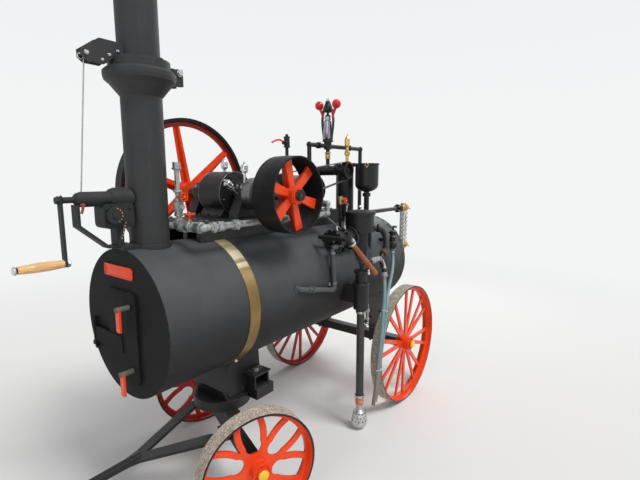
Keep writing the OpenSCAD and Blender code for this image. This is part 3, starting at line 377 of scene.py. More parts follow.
class Shading:
    """One material while it is put together: a Principled shader and its shared effects."""

    def __init__(self, name: str, effects: Effects) -> None:
        """Open the material.

        Args:
            name: Name of the material.
            effects: The shared groups.
        """
        self.material = bpy.data.materials.new(name)
        self.material.use_nodes = True
        self.effects = effects
        self.w = Wiring(self.material.node_tree)
        self.surface = self.w.add("BsdfPrincipled")
        self.w.add("OutputMaterial", {"Surface": self.surface.outputs[0]})
        self.place = self.w.coords()

    def effect(self, group: bpy.types.NodeTree, **values: object) -> object:
        """Place a shared group with this material's own values and return its outputs."""
        return self.w.add("Group", values, node_tree=group).outputs

    def grain(self, scale: float) -> tuple:
        """Height and slow tone of fine grain."""
        made = self.effect(self.effects.grain, Scale=scale)
        return made["Height"], made["Tone"]

    def edge(self, width: float, wear: float) -> tuple:
        """Mask of worn edges and the normal that rounds them."""
        made = self.effect(self.effects.edge, Width=width, Wear=wear)
        return made["Mask"], made["Normal"]

    def dust(self, amount: float) -> object:
        """Mask of settled dust."""
        return self.effect(self.effects.dust, Amount=amount)["Mask"]

    def plain(self, **values: object) -> None:
        """Feed the shader's own sockets, with _ for a space in their names."""
        for name, value in values.items():
            self.w.feed(self.surface.inputs[name.replace("_", " ")], value)

    def bump(self, height: object, strength: float, distance: float, normal: object = None) -> None:
        """Feed a bump to the shader.

        Args:
            height: Output that gives the height.
            strength: Strength from 0 to 1.
            distance: Depth in metres.
            normal: Normal to start from, if any.
        """
        inputs = {"Height": height, "Strength": strength, "Distance": distance}
        if normal is not None:
            inputs["Normal"] = normal
        self.plain(Normal=self.w.add("Bump", inputs).outputs[0])


@dataclass(frozen=True)
class Finish:
    """A named finish, with the record slot that new pieces in it stand for."""

    name: str
    slot: Slot = field(default=Slot.BLACK, kw_only=True)

    def build(self, effects: Effects) -> bpy.types.Material:
        """Make the material.

        Args:
            effects: The shared groups.

        Returns:
            The finished material.
        """
        s = Shading(self.name, effects)
        self.lay(s, s.w)
        return s.material

    def lay(self, s: Shading, w: Wiring) -> None:
        """Lay the finish on, which every kind of finish does in its own way.

        Args:
            s: The opened material.
            w: Its wiring.
        """
        raise NotImplementedError(self.name)


@dataclass(frozen=True)
class PaintFinish(Finish):
    """Brushed or sprayed enamel with tone changes, dust, streaks and rubbed edges."""

    colour: Colour
    shade: Colour
    roughness: float = 0.42
    sheen_spread: float = 0.16
    coat: float = 0.0
    bare: Colour = (0.18, 0.17, 0.16)
    wear: float = 0.5
    dust: float = 0.25
    streaks: float = 0.3
    specular: float = 0.32

    def lay(self, s: Shading, w: Wiring) -> None:
        """Lay the enamel on.

        Args:
            s: The opened material.
            w: Its wiring.
        """
        height, tone = s.grain(420.0)
        worn, rounded = s.edge(0.002, self.wear)
        dust = s.dust(self.dust)
        streaks = s.effect(s.effects.streaks, Amount=self.streaks)["Mask"]
        base = w.mix(tone, self.shade, self.colour)
        for share, colour in ((streaks, DUST), (dust, DUST), (worn, self.bare)):
            base = w.mix(share, base, colour)
        rough = w.plus(w.times(tone, self.sheen_spread), self.roughness)
        rough = w.plus(rough, w.times(dust, 0.5), True)
        s.plain(Base_Color=base, Roughness=rough, Coat_Roughness=0.16)
        s.plain(Specular_IOR_Level=self.specular)
        if self.coat:
            s.plain(Coat_Weight=w.times(w.less(1.0, dust), self.coat))
        s.bump(height, 0.22, 0.0006, rounded)


@dataclass(frozen=True)
class MetalFinish(Finish):
    """Bare metal with handling marks, tarnish and fine scratches."""

    colour: Colour
    tarnish: Colour
    roughness: float = 0.22
    spread: float = 0.25
    dust: float = 0.12
    metal: float = 1.0

    def lay(self, s: Shading, w: Wiring) -> None:
        """Lay the tarnish and scratches on.

        Args:
            s: The opened material.
            w: Its wiring.
        """
        dust = s.dust(self.dust)
        dull = w.band(w.noise(s.place, 22.0, 5.0, 0.6), 0.48, 0.70)
        base = w.mix(dull, self.colour, self.tarnish)
        base = w.mix(dust, base, (0.2, 0.18, 0.15))
        scratches = w.noise(w.stretched(s.place, (60.0, 900.0, 900.0)), 1.0, 2.0)
        rough = w.plus(w.times(dull, self.spread), self.roughness)
        rough = w.plus(rough, w.times(scratches, 0.1), True)
        solid = w.less(self.metal, w.times(dust, 0.8), True)
        s.plain(Base_Color=base, Roughness=rough, Metallic=solid)
        s.bump(scratches, 0.08, 0.0004, s.edge(0.0015, 0.4)[1])


@dataclass(frozen=True)
class GalvanisedFinish(Finish):
    """Zinc-coated pipe: grey spangle, dull white bloom and dark patches."""

    colour: Colour = (0.33, 0.345, 0.35)
    dark: Colour = (0.15, 0.158, 0.165)
    bloom: Colour = (0.50, 0.50, 0.48)

    def lay(self, s: Shading, w: Wiring) -> None:
        """Lay the zinc on.

        Args:
            s: The opened material.
            w: Its wiring.
        """
        spangle = w.add("TexVoronoi", {"Vector": s.place, "Scale": 170.0})
        cells = w.add("SeparateColor", {0: spangle.outputs["Color"]}).outputs[0]
        patches = w.band(w.noise(s.place, 26.0, 5.0, 0.65), 0.42, 0.62)
        base = w.mix(w.times(cells, 0.45), self.colour, self.dark)
        base = w.mix(w.times(patches, 0.6), base, self.bloom)
        base = w.mix(w.band(w.noise(s.place, 41.0, 4.0), 0.6, 0.75), base, self.dark)
        rough = w.plus(w.times(patches, 0.28), 0.34)
        metal = w.less(0.85, w.times(patches, 0.6))
        s.plain(Base_Color=base, Roughness=rough, Metallic=metal)
        s.bump(w.plus(cells, patches), 0.12, 0.0005, s.edge(0.0015, 0.3)[1])


@dataclass(frozen=True)
class WoodFinish(Finish):
    """Turned wood with grain along one axis under old varnish."""

    light: Colour
    dark: Colour
    along: Point
    front: "WoodFinish | None" = None
    front_from: float = 0.0

    def tone(self, s: Shading) -> tuple:
        """Colour, fibre and ring outputs of this wood."""
        w = s.w
        drawn = w.stretched(s.place, self.along)
        fibre = w.noise(drawn, 1.0, 6.0, 0.6)
        rings = w.band(w.noise(drawn, 0.35, 3.0), 0.4, 0.6)
        base = w.mix(w.band(fibre, 0.35, 0.68), self.light, self.dark)
        return w.mix(w.times(rings, 0.35), base, self.dark), fibre, rings

    def lay(self, s: Shading, w: Wiring) -> None:
        """Lay the wood and its varnish on.

        Args:
            s: The opened material.
            w: Its wiring.
        """
        base, fibre, rings = self.tone(s)
        if self.front:
            share = w.band(w.parts(s.place)[0], self.front_from - 0.05, self.front_from + 0.05)
            other = self.front.tone(s)
            base = w.mix(share, base, other[0])
            fibre = w.level(share, fibre, other[1])
        base = w.mix(s.dust(0.3), base, (0.12, 0.08, 0.05))
        rough = w.plus(w.times(fibre, 0.25), 0.3)
        s.plain(Base_Color=base, Roughness=rough, Coat_Weight=w.times(rings, 0.35))
        s.plain(Specular_IOR_Level=0.25)
        s.bump(fibre, 0.35, 0.0006, s.edge(0.002, 0.5)[1])


@dataclass(frozen=True)
class HoseFinish(Finish):
    """Soft hose whose colour goes over to a stained one between two heights."""

    colour: Colour
    stain: Colour
    clean_above: float
    stained_below: float
    gloss: float = 0.35
    see_in: float = 0.0

    def lay(self, s: Shading, w: Wiring) -> None:
        """Lay the rubber and its stain on.

        Args:
            s: The opened material.
            w: Its wiring.
        """
        cloud = w.noise(s.place, 18.0, 5.0, 0.65)
        level = w.plus(w.parts(s.place)[2], w.times(cloud, 0.16))
        stained = w.band(level, self.clean_above, self.stained_below)
        base = w.mix(w.band(cloud, 0.3, 0.7), self.colour, tuple(c * 0.78 for c in self.colour))
        base = w.mix(stained, base, self.stain)
        base = w.mix(s.dust(0.22), base, (0.3, 0.28, 0.25))
        rough = w.plus(w.times(cloud, 0.2), self.gloss)
        s.plain(Base_Color=base, Roughness=rough, Subsurface_Weight=self.see_in)
        s.plain(Subsurface_Radius=(0.01, 0.012, 0.012), Subsurface_Scale=0.4)
        s.bump(w.noise(s.place, 160.0), 0.15, 0.0006)


@dataclass(frozen=True)
class WheelFinish(Finish):
    """Painted wheel with a bare worn tread, a black line at the rim and a dirty tread edge."""

    centre: Point
    axis: Point
    radius: float
    paint: Colour
    shade: Colour
    tread: Colour
    tread_dark: Colour
    tread_light: Colour

    def lay(self, s: Shading, w: Wiring) -> None:
        """Lay the paint, the rim's line and the tread on.

        Args:
            s: The opened material.
            w: Its wiring.
        """
        radius = s.effect(s.effects.wheel, Centre=self.centre, Axis=self.axis)["Radius"]
        height, tone = s.grain(300.0)
        worn, rounded = s.edge(0.004, 0.35)
        dust = s.dust(0.16)
        on_tread = w.band(radius, self.radius - 0.0022, self.radius - 0.0008)
        line = w.band(radius, self.radius - 0.0125, self.radius - 0.0105)
        line = w.times(line, w.less(1.0, on_tread))
        grit = w.noise(s.place, 230.0, 3.0, 0.7)
        blots = w.noise(s.place, 34.0, 4.0, 0.6)
        specks = w.band(w.noise(s.place, 190.0, 2.0, 0.6), 0.53, 0.60)
        tread = w.mix(w.band(blots, 0.35, 0.65), self.tread, self.tread_dark)
        tread = w.mix(specks, tread, self.tread_light)
        tread = w.mix(w.band(grit, 0.44, 0.3), tread, self.tread_dark)
        base = w.mix(tone, self.shade, self.paint)
        for share, colour in (
            (w.times(worn, 0.6), (0.25, 0.02, 0.01)), (dust, (0.35, 0.22, 0.15)),
            (line, (0.012, 0.012, 0.013)), (on_tread, tread),
        ):
            base = w.mix(share, base, colour)
        rough = w.plus(w.times(on_tread, 0.6), 0.26)
        rough = w.plus(rough, w.times(dust, 0.4), True)
        coat = w.less(0.3, w.plus(on_tread, dust), True)
        s.plain(Base_Color=base, Roughness=rough, Coat_Weight=coat, Coat_Roughness=0.12)
        s.plain(Specular_IOR_Level=0.16)
        pits = w.times(w.plus(grit, blots), on_tread)
        s.bump(w.plus(pits, w.times(height, 0.18)), 0.5, 0.002, rounded)


@dataclass(frozen=True)
class RimmedFinish(Finish):
    """Orange arms inside a dark rim, for the flywheel and the belt pulley."""

    centre: Point
    rim_from: float
    inner_from: float = 0.0

    def lay(self, s: Shading, w: Wiring) -> None:
        """Lay the paint of arms, web and rim on.

        Args:
            s: The opened material.
            w: Its wiring.
        """
        radius = s.effect(s.effects.wheel, Centre=self.centre, Axis=(0.0, 1.0, 0.0))["Radius"]
        height, tone = s.grain(320.0)
        on_rim = w.band(radius, self.rim_from - 0.0006, self.rim_from + 0.0006)
        base = w.mix(tone, ENAMEL[1], ENAMEL[0])
        if self.inner_from:
            web = w.band(radius, self.inner_from - 0.001, self.inner_from + 0.001)
            base = w.mix(web, base, (0.45, 0.03, 0.012))
        base = w.mix(on_rim, base, (0.007, 0.0075, 0.0085))
        base = w.mix(s.dust(0.12), base, (0.2, 0.17, 0.14))
        rough = w.plus(0.24, w.times(on_rim, 0.2))
        rough = w.plus(rough, w.times(tone, 0.1), True)
        coat = w.less(0.25, w.times(on_rim, 0.2), True)
        s.plain(Base_Color=base, Roughness=rough, Coat_Weight=coat, Coat_Roughness=0.12)
        s.plain(Specular_IOR_Level=0.15)
        s.bump(height, 0.25, 0.0007, s.edge(0.004, 0.3)[1])


@dataclass(frozen=True)
class Look:
    """Colour and sheen of one zone of a finish."""

    colour: Colour
    shade: Colour
    roughness: float = 0.4
    metal: float = 0.0
    coat: float = 0.0


@dataclass(frozen=True)
class ZonedFinish(Finish):
    """One node's finish where parts of it are painted or polished in another way."""

    ground: Look
    zones: tuple[tuple[Look, Callable], ...]
    dust: float = 0.15
    wear: float = 0.2
    specular: float = 0.32

    def lay(self, s: Shading, w: Wiring) -> None:
        """Lay the ground and its zones on.

        Args:
            s: The opened material.
            w: Its wiring.
        """
        height, tone = s.grain(380.0)
        worn, rounded = s.edge(0.0018, self.wear)
        dust = s.dust(self.dust)
        ground = self.ground
        base = w.mix(tone, ground.shade, ground.colour)
        sums = {part: getattr(ground, part) for part in ("roughness", "metal", "coat")}
        for look, mask in self.zones:
            share = mask(s, w)
            base = w.mix(share, base, w.mix(tone, look.shade, look.colour))
            for part in sums:
                if {getattr(z, part) for z, _ in self.zones} != {getattr(ground, part)}:
                    sums[part] = w.level(share, sums[part], getattr(look, part))
        base = w.mix(dust, base, DUST)
        base = w.mix(worn, base, (0.24, 0.22, 0.2))
        rough = w.plus(sums["roughness"], w.times(dust, 0.5), True)
        s.plain(Base_Color=base, Roughness=rough, Metallic=sums["metal"])
        s.plain(Coat_Weight=sums["coat"], Coat_Roughness=0.12, Specular_IOR_Level=self.specular)
        s.bump(height, 0.2, 0.0006, rounded)


def painted_shade_lower_band(s: Shading, w: Wiring) -> object:
    """1 below the barrel's shoulder, 0 on its crown, where the band's brass is painted darker as painted
    shade.
    """
    return w.band(w.parts(s.place)[2], 1.25, 1.0)


def painted_shade_under_barrel(s: Shading, w: Wiring) -> object:
    """1 low on the barrel, 0 from its shoulder up, where the boiler's black is painted darker as painted
    shade.
    """
    return w.band(w.parts(s.place)[2], 1.14, 0.82)


def shoulder_glint(s: Shading, w: Wiring) -> object:
    """1 in patches on the shoulder, where the brushed band catches the light."""
    z = w.parts(s.place)[2]
    shoulder = w.times(w.band(z, 1.12, 1.17), w.band(z, 1.262, 1.235))
    brushed = w.noise(w.stretched(s.place, (3.0, 26.0, 26.0)), 1.0, 3.0)
    return w.times(shoulder, w.band(brushed, 0.40, 0.56))


def saddle_smear(s: Shading, w: Wiring) -> object:
    """1 in a greasy yellow smear on the saddle's top plate, near its bolt."""
    x, y, z = w.parts(s.place)
    near = w.band(w.span(w.less(x, 0.205), w.less(y, 0.115)), 0.060, 0.015)
    patchy = w.times(near, w.band(w.noise(s.place, 45.0, 4.0, 0.7), 0.45, 0.56))
    top = w.times(w.band(z, 0.530, 0.537), w.band(z, 0.541, 0.5395))
    return w.times(patchy, top)


def smokebox_face(s: Shading, w: Wiring) -> object:
    """1 on the smokebox's front, whose paint is matt."""
    return w.band(w.parts(s.place)[0], FACE_X - 0.002, FACE_X - 0.001)


def catch_pins(s: Shading, w: Wiring) -> object:
    """1 on the round pins of the smokebox catches."""
    _, y, z = w.parts(s.place)
    gaps = [w.math("ABSOLUTE", w.less(z, height)) for height in (1.030, 0.750)]
    return w.band(w.span(w.less(y, 0.062), w.math("MINIMUM", *gaps)), 0.0122, 0.0114)


def cage_core(s: Shading, w: Wiring) -> object:
    """1 on the spindle inside the governor's cage."""
    x, y, z = w.parts(s.place)
    away = w.span(w.less(x, GOVERNOR_X), w.less(y, GOVERNOR_Y))
    core = w.times(w.band(away, 0.0245, 0.0235), w.band(z, 1.812, 1.816))
    return w.times(core, w.band(z, 1.966, 1.962))


def governor_cap(s: Shading, w: Wiring) -> object:
    """1 on the steel cap over the governor's cage."""
    return w.band(w.parts(s.place)[2], 2.060, 2.063)


def governor_necks(s: Shading, w: Wiring) -> object:
    """1 on the two tapered necks that carry the balls."""
    x, y, z = w.parts(s.place)
    side = w.math("ABSOLUTE", w.less(y, GOVERNOR_Y))
    offset = w.joined(w.less(x, GOVERNOR_X), w.less(side, 0.036), w.less(z, 1.955))
    away, along = w.off_axis(offset, (0.0, 0.3727, 0.9280))
    return w.times(w.band(away, 0.0135, 0.0125), w.band(along, 0.0, 0.004))


# The band's crown is a lighter gold than its lower part, which is painted shade, and its shoulder zone is a
# painted highlight.
BAND = ZonedFinish(
    "band_brass", Look((0.72, 0.55, 0.27), (0.58, 0.42, 0.18), 0.30, 0.5),
    (
        (Look((0.33, 0.22, 0.085), (0.22, 0.14, 0.05), 0.36, 0.8), painted_shade_lower_band),
        (Look((1.0, 0.90, 0.64), (0.92, 0.80, 0.52), 0.34, 0.2), shoulder_glint),
    ), dust=0.02,
)
# The barrel's crown is a lighter black than its lower half, whose darker black is painted shade.
BOILER = ZonedFinish(
    "boiler_paint", Look((0.082, 0.086, 0.089), (0.068, 0.072, 0.075), 0.44),
    (
        (Look((0.024, 0.025, 0.026), (0.019, 0.020, 0.021), 0.58), painted_shade_under_barrel),
        (Look(*FACE_TONES, 0.75), smokebox_face),
    ), dust=0.08, wear=0.8, specular=0.16,
)
SADDLE = ZonedFinish(
    "saddle_paint", Look(*OIL_BLACK, 0.38),
    ((Look((0.44, 0.37, 0.19), (0.28, 0.23, 0.11), 0.6), saddle_smear),), dust=0.12, wear=0.7,
)
CATCHES = ZonedFinish(
    "door_catch_paint", Look(*ENAMEL, 0.3, coat=0.2),
    ((Look((0.16, 0.17, 0.14), (0.09, 0.10, 0.085), 0.75), catch_pins),),
)
GOVERNOR = ZonedFinish(
    "governor_cage", Look((0.018, 0.019, 0.021), (0.026, 0.027, 0.029), 0.3),
    (
        (Look((0.40, 0.40, 0.40), (0.22, 0.22, 0.22), 0.13, 1.0), cage_core),
        (Look((0.55, 0.55, 0.54), (0.4, 0.4, 0.39), 0.25, 1.0), governor_cap),
        (Look(*RED_TONES, 0.24, coat=0.4), governor_necks),
    ),
)
BLACK = PaintFinish(
    "boiler_black", (0.036, 0.0395, 0.042), (0.030, 0.033, 0.0355), roughness=0.46,
    sheen_spread=0.08, wear=0.2, dust=0.16, streaks=0.10,
)
MATTE = PaintFinish(
    "matte_black", (0.020, 0.0212, 0.0225), (0.016, 0.017, 0.018), roughness=0.6, sheen_spread=0.08,
    wear=0.2, dust=0.16, streaks=0.12,
)
FACE_BLACK = PaintFinish(
    "face_black", *FACE_TONES, roughness=0.72, sheen_spread=0.08, wear=0.1, dust=0.05, streaks=0.04,
    specular=0.14,
)
CHIMNEY = PaintFinish(
    "chimney_black", (0.030, 0.031, 0.033), (0.025, 0.026, 0.0275), roughness=0.56,
    sheen_spread=0.08, wear=0.15, dust=0.16, streaks=0.16,
)
OILY = PaintFinish("oily_black", *OIL_BLACK, roughness=0.34, wear=0.5, dust=0.09, streaks=0.05)
ORANGE = PaintFinish(
    "orange_enamel", *ENAMEL, roughness=0.24, sheen_spread=0.1, coat=0.12, wear=0.2,
    bare=(0.12, 0.03, 0.02), dust=0.03, streaks=0.02, specular=0.14, slot=Slot.ORANGE,
)
RED = PaintFinish(
    "red_enamel", *RED_TONES, roughness=0.22, sheen_spread=0.1, coat=0.4, wear=0.1, dust=0.04,
    streaks=0.0,
)
YELLOW = PaintFinish(
    "yellow_enamel", (0.9, 0.62, 0.02), (0.8, 0.5, 0.015), roughness=0.3, coat=0.4, wear=0.2,
    bare=(0.3, 0.2, 0.05), dust=0.1, streaks=0.05, slot=Slot.BRASS,
)
BRASS = MetalFinish("rubbed_brass", (0.62, 0.45, 0.17), (0.42, 0.28, 0.09), roughness=0.24)
COPPER = MetalFinish(
    "copper", (0.62, 0.26, 0.15), (0.25, 0.09, 0.06), roughness=0.35, slot=Slot.BRASS,
)
STEEL = MetalFinish(
    "bright_steel", (0.62, 0.62, 0.61), (0.36, 0.35, 0.34), roughness=0.2, slot=Slot.STEEL,
)
CHROME = MetalFinish(
    "chrome", (0.62, 0.63, 0.64), (0.42, 0.42, 0.42), roughness=0.13, spread=0.14, slot=Slot.CUPS,
)
GAUGE_BODY = MetalFinish(
    "gauge_steel", (0.72, 0.72, 0.70), (0.56, 0.55, 0.53), 0.36, metal=0.15, slot=Slot.STEEL,
)
DARK_STEEL = MetalFinish("dark_steel", (0.060, 0.060, 0.060), (0.030, 0.029, 0.028), roughness=0.40)
RUST = PaintFinish(
    "rusty_rubber", (0.15, 0.060, 0.040), (0.07, 0.035, 0.028), roughness=0.7, slot=Slot.HOSE,
)
PIPE_GREY = PaintFinish(
    "pipe_grey", (0.085, 0.09, 0.094), (0.055, 0.058, 0.061), roughness=0.36,
    bare=(0.25, 0.25, 0.24), dust=0.12, slot=Slot.PIPE,
)
LEATHER = HoseFinish("belt_leather", (0.05, 0.032, 0.022), (0.03, 0.02, 0.015), 9.0, 8.0)
GRIP = WoodFinish("crank_grip", (0.90, 0.60, 0.29), (0.68, 0.38, 0.15), (18.0, 240.0, 240.0))
LEVER_WOOD = WoodFinish(
    "pump_lever", (0.42, 0.120, 0.024), (0.20, 0.045, 0.010), (60.0, 260.0, 90.0), front=GRIP,
    front_from=0.5,
)
RUBBER = HoseFinish(
    "black_rubber", (0.02, 0.021, 0.022), (0.10, 0.045, 0.025), 1.2, 1.1, slot=Slot.HOSE,
)
SUCTION = HoseFinish("suction_hose", (0.022, 0.023, 0.025), (0.03, 0.028, 0.026), 9.0, 8.0)
TEAL = HoseFinish(
    "teal_hose", (0.19, 0.33, 0.35), (0.2, 0.17, 0.14), 0.75, 0.3, 0.22, 0.15, slot=Slot.TEAL,
)
ZINC = GalvanisedFinish("galvanised", slot=Slot.PIPE)
OLD_BRASS = MetalFinish(
    "old_brass", (0.48, 0.35, 0.15), (0.22, 0.15, 0.07), roughness=0.34, slot=Slot.BRASS,
)
DULL_STEEL = MetalFinish(
    "dull_steel", (0.20, 0.20, 0.20), (0.07, 0.068, 0.065), roughness=0.38, slot=Slot.MACHINED,
)
CONE = MetalFinish(
    "polished_cone", (0.30, 0.28, 0.33), (0.25, 0.235, 0.28), 0.10, 0.04, dust=0.02,
    slot=Slot.MACHINED,
)
WIRE = MetalFinish(
    "wire_rope", (0.42, 0.42, 0.42), (0.25, 0.25, 0.25), roughness=0.4, slot=Slot.STEEL,
)
GLASS = MetalFinish(
    "gauge_glass", (0.10, 0.13, 0.12), (0.06, 0.08, 0.075), 0.08, 0.1, metal=0.15, slot=Slot.STEEL,
)
TIE = PaintFinish(
    "cable_tie", (0.75, 0.75, 0.72), (0.6, 0.6, 0.57), roughness=0.4, wear=0.0, slot=Slot.TEAL,
)
DULL_RED = PaintFinish(
    "dull_red", (0.34, 0.05, 0.035), (0.25, 0.035, 0.025), roughness=0.5, slot=Slot.RED,
)
# Black of the shaft ends, and painted shade in the strainer's holes.
SOOT_AND_HOLE_SHADE = PaintFinish(
    "soot_and_hole_shade_black", (0.008, 0.008, 0.009), (0.012, 0.012, 0.012), roughness=0.6, wear=0.1, dust=0.05,
    streaks=0.0,
)
GREY_VALVE = PaintFinish(
    "grey_valve", (0.40, 0.43, 0.42), (0.26, 0.29, 0.29), roughness=0.4, bare=(0.3, 0.3, 0.3),
    slot=Slot.PIPE,
)


def wheel_axis(parked: bool) -> Point:
    """Axis of a road wheel, turned with the parked fore-carriage if it is a front one."""
    return (-math.sin(PARK), math.cos(PARK), 0.0) if parked else (0.0, 1.0, 0.0)


class Palette:
    """Materials by finish, each made once when it is first asked for."""

    def __init__(self, effects: Effects) -> None:
        """Start with no material, on the shared groups."""
        self.effects = effects
        self.made: dict[str, bpy.types.Material] = {}

    def of(self, finish: Finish) -> bpy.types.Material:
        """Material of a finish."""
        if finish.name not in self.made:
            self.made[finish.name] = finish.build(self.effects)
        return self.made[finish.name]


@dataclass
class SubAssembly:
    """A group of new pieces: each is built, dressed and set to ride on a body."""

    palette: Palette

    def finish(
        self,
        mesh: bmesh.types.BMesh,
        name: str,
        finish: Finish,
        body: str | None = "boiler",
        smooth: float = 35.0,
    ) -> bpy.types.Object:
        """Turn a bmesh into a piece of the object.

        Args:
            mesh: The finished shape, in the object's frame. It is freed.
            name: Name of the piece.
            finish: The finish it wears.
            body: CAD body that it moves with, or None to leave it on no body.
            smooth: Angle in degrees above which an edge stays sharp.

        Returns:
            The object.
        """
        data = bpy.data.meshes.new(name)
        bmesh.ops.recalc_face_normals(mesh, faces=mesh.faces)
        mesh.to_mesh(data)
        mesh.free()
        data.shade_smooth()
        data.set_sharp_from_angle(angle=math.radians(smooth))
        data.materials.append(self.palette.of(finish))
        piece = bpy.data.objects.new(name, data)
        bpy.context.scene.collection.objects.link(piece)
        if body:
            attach(piece, body)
        LOG.info("piece %s: %d faces, rides on %s", name, len(data.polygons), body)
        return piece


def stand(place: Point) -> Matrix:
    """Upright placement at a place."""
    return Matrix.Translation(Vector(place))


def lift(height: float) -> Matrix:
    """Shift along a placement's own axis."""
    return stand((0, 0, height))


def aimed(place: Point, direction: Point) -> Matrix:
    """Placement whose own Z axis points along a direction of any length."""
    return stand(place) @ Vector(direction).to_track_quat("Z", "Y").to_matrix().to_4x4()


def lathe(
    mesh: bmesh.types.BMesh,
    profile: list[tuple[float, float]],
    at: Matrix,
    steps: int = 32,
    closed: bool = False,
) -> None:
    """Add a turned shape.

    Args:
        mesh: Mesh that takes it.
        profile: Radius and height pairs, from one end to the other.
        at: Placement, the axis along its Z.
        steps: Faces round the axis.
        closed: True where the last pair joins the first, as in a ring.
    """
    rings = []
    for radius, height in profile:
        turns = [2 * math.pi * k / steps for k in range(steps if radius else 1)]
        rings.append([
            mesh.verts.new(at @ Vector((radius * math.cos(t), radius * math.sin(t), height)))
            for t in turns
        ])
    for low, high in zip(rings, rings[1:] + ([rings[0]] if closed else [])):
        for k in range(steps):
            n = (k + 1) % steps
            corners = [low[k % len(low)], low[n % len(low)], high[n % len(high)], high[k % len(high)]]
            unique = list(dict.fromkeys(corners))
            if len(unique) > 2:
                mesh.faces.new(unique)
    for ring in () if closed else (rings[0], rings[-1]):
        if len(ring) > 2:
            mesh.faces.new(ring)


def sleeve(
    mesh: bmesh.types.BMesh, at: Matrix, inner: float, outer: float, length: float, steps: int = 32
) -> None:
    """Add a ring with softened corners that stands on a placement.

    Args:
        mesh: Mesh that takes it.
        at: Placement, the axis along its Z.
        inner: Radius of its hole.
        outer: Radius of its outside.
        length: Height of the ring.
        steps: Faces round the axis.
    """
    c = min(outer - inner, length) * 0.2
    profile = [
        (inner, 0.0), (outer - c, 0.0), (outer, c), (outer, length - c), (outer - c, length),
        (inner, length),
    ]
    lathe(mesh, profile, at, steps, closed=True)


def nut(mesh: bmesh.types.BMesh, at: Matrix, inner: float, outer: float, length: float) -> None:
    """Add a hexagon nut round a pipe, with radii to its hole and its corners."""
    lathe(mesh, [(inner, 0.0), (outer, 0.0), (outer, length), (inner, length)], at, 6, True)


def bead(mesh: bmesh.types.BMesh, at: Matrix, radius: float, thick: float, steps: int = 40) -> None:
    """Add a round wire bent into a ring round a placement's axis."""
    turns = [2 * math.pi * k / 10 for k in range(10)]
    profile = [(radius + thick * math.cos(t), thick * math.sin(t)) for t in turns]
    lathe(mesh, profile, at, steps, closed=True)


def tube(
    mesh: bmesh.types.BMesh, path: list[Point], radius: float | list[float], sides: int = 12
) -> None:
    """Add a round bar or hose along a path of points.

    Args:
        mesh: Mesh that takes it.
        path: Points of the centre line.
        radius: Radius of the bar, or a list with one for each point.
        sides: Faces round it.
    """
    line = [Vector(p) for p in path]
    radii = radius if isinstance(radius, list) else [radius] * len(line)
    turns = [2 * math.pi * k / sides for k in range(sides)]
    side = None
    rings = []
    for i, (point, size) in enumerate(zip(line, radii)):
        run = (line[min(i + 1, len(line) - 1)] - line[max(i - 1, 0)]).normalized()
        side = side or run.orthogonal().normalized()
        side = (side - run * side.dot(run)).normalized()
        other = run.cross(side)
        rings.append([
            mesh.verts.new(point + side * size * math.cos(t) + other * size * math.sin(t))
            for t in turns
        ])
    for low, high in zip(rings, rings[1:]):
        for k in range(sides):
            n = (k + 1) % sides
            mesh.faces.new([low[k], low[n], high[n], high[k]])
    mesh.faces.new(rings[0])
    mesh.faces.new(rings[-1])


def straight(start: Point, end: Point, steps: int) -> list[Vector]:
    """Evenly spaced points from start to end."""
    return [Vector(start).lerp(Vector(end), k / steps) for k in range(steps + 1)]


def smooth_path(points: list[Point], steps: int) -> list[Vector]:
    """Round off a route with a curve through its points.

    Args:
        points: Points of the route.
        steps: New points for each stretch.

    Returns:
        The finer list of points.
    """
    given = [Vector(p) for p in points]
    fine = []
    for i in range(len(given) - 1):
        a, d = given[max(i - 1, 0)], given[min(i + 2, len(given) - 1)]
        b, c = given[i], given[i + 1]
        for k in range(steps):
            t = k / steps
            square = (2 * a - 5 * b + 4 * c - d) * t**2
            cube = (3 * b - a - 3 * c + d) * t**3
            fine.append(0.5 * (2 * b + (c - a) * t + square + cube))
    fine.append(given[-1])
    return fine


def hexagon(mesh: bmesh.types.BMesh, at: Matrix, across: float, height: float) -> None:
    """Add a chamfered hexagon head with a short washer under it.

    Args:
        mesh: Mesh that takes it.
        at: Placement, the head standing up along Z.
        across: Width across the flats.
        height: Height of the head.
    """
    corner = across / math.sqrt(3)
    lathe(mesh, [(corner * 1.12, 0.0), (corner * 1.12, height * 0.16)], at, 20)
    levels = [(corner, height * 0.16), (corner, height * 0.84), (corner * 0.8, height)]
    lathe(mesh, levels, at, 6)


def crown(
    mesh: bmesh.types.BMesh, at: Matrix, radius: float, count: int, across: float, height: float
) -> None:
    """Add hexagon heads in a circle round a placement's axis, each turned a little differently.

    Args:
        mesh: Mesh that takes them.
        at: Placement, the heads standing up along its Z.
        radius: Radius of the bolt circle.
        count: Number of heads.
        across: Width across the flats.
        height: Height of a head.
    """
    chance = random.Random(count)
    for k in range(count):
        turn = Matrix.Rotation(2 * math.pi * (k + 0.5) / count, 4, "Z")
        own = Matrix.Rotation(chance.uniform(0.0, 1.0), 4, "Z")
        hexagon(mesh, at @ turn @ stand((radius, 0, 0)) @ own, across, height)


def rivet(mesh: bmesh.types.BMesh, at: Matrix, radius: float) -> None:
    """Add a low round rivet head that stands on a placement."""
    levels = [(radius, 0.0), (radius * 0.94, radius * 0.3), (radius * 0.6, radius * 0.62)]
    lathe(mesh, [*levels, (0.0, radius * 0.72)], at, 14)


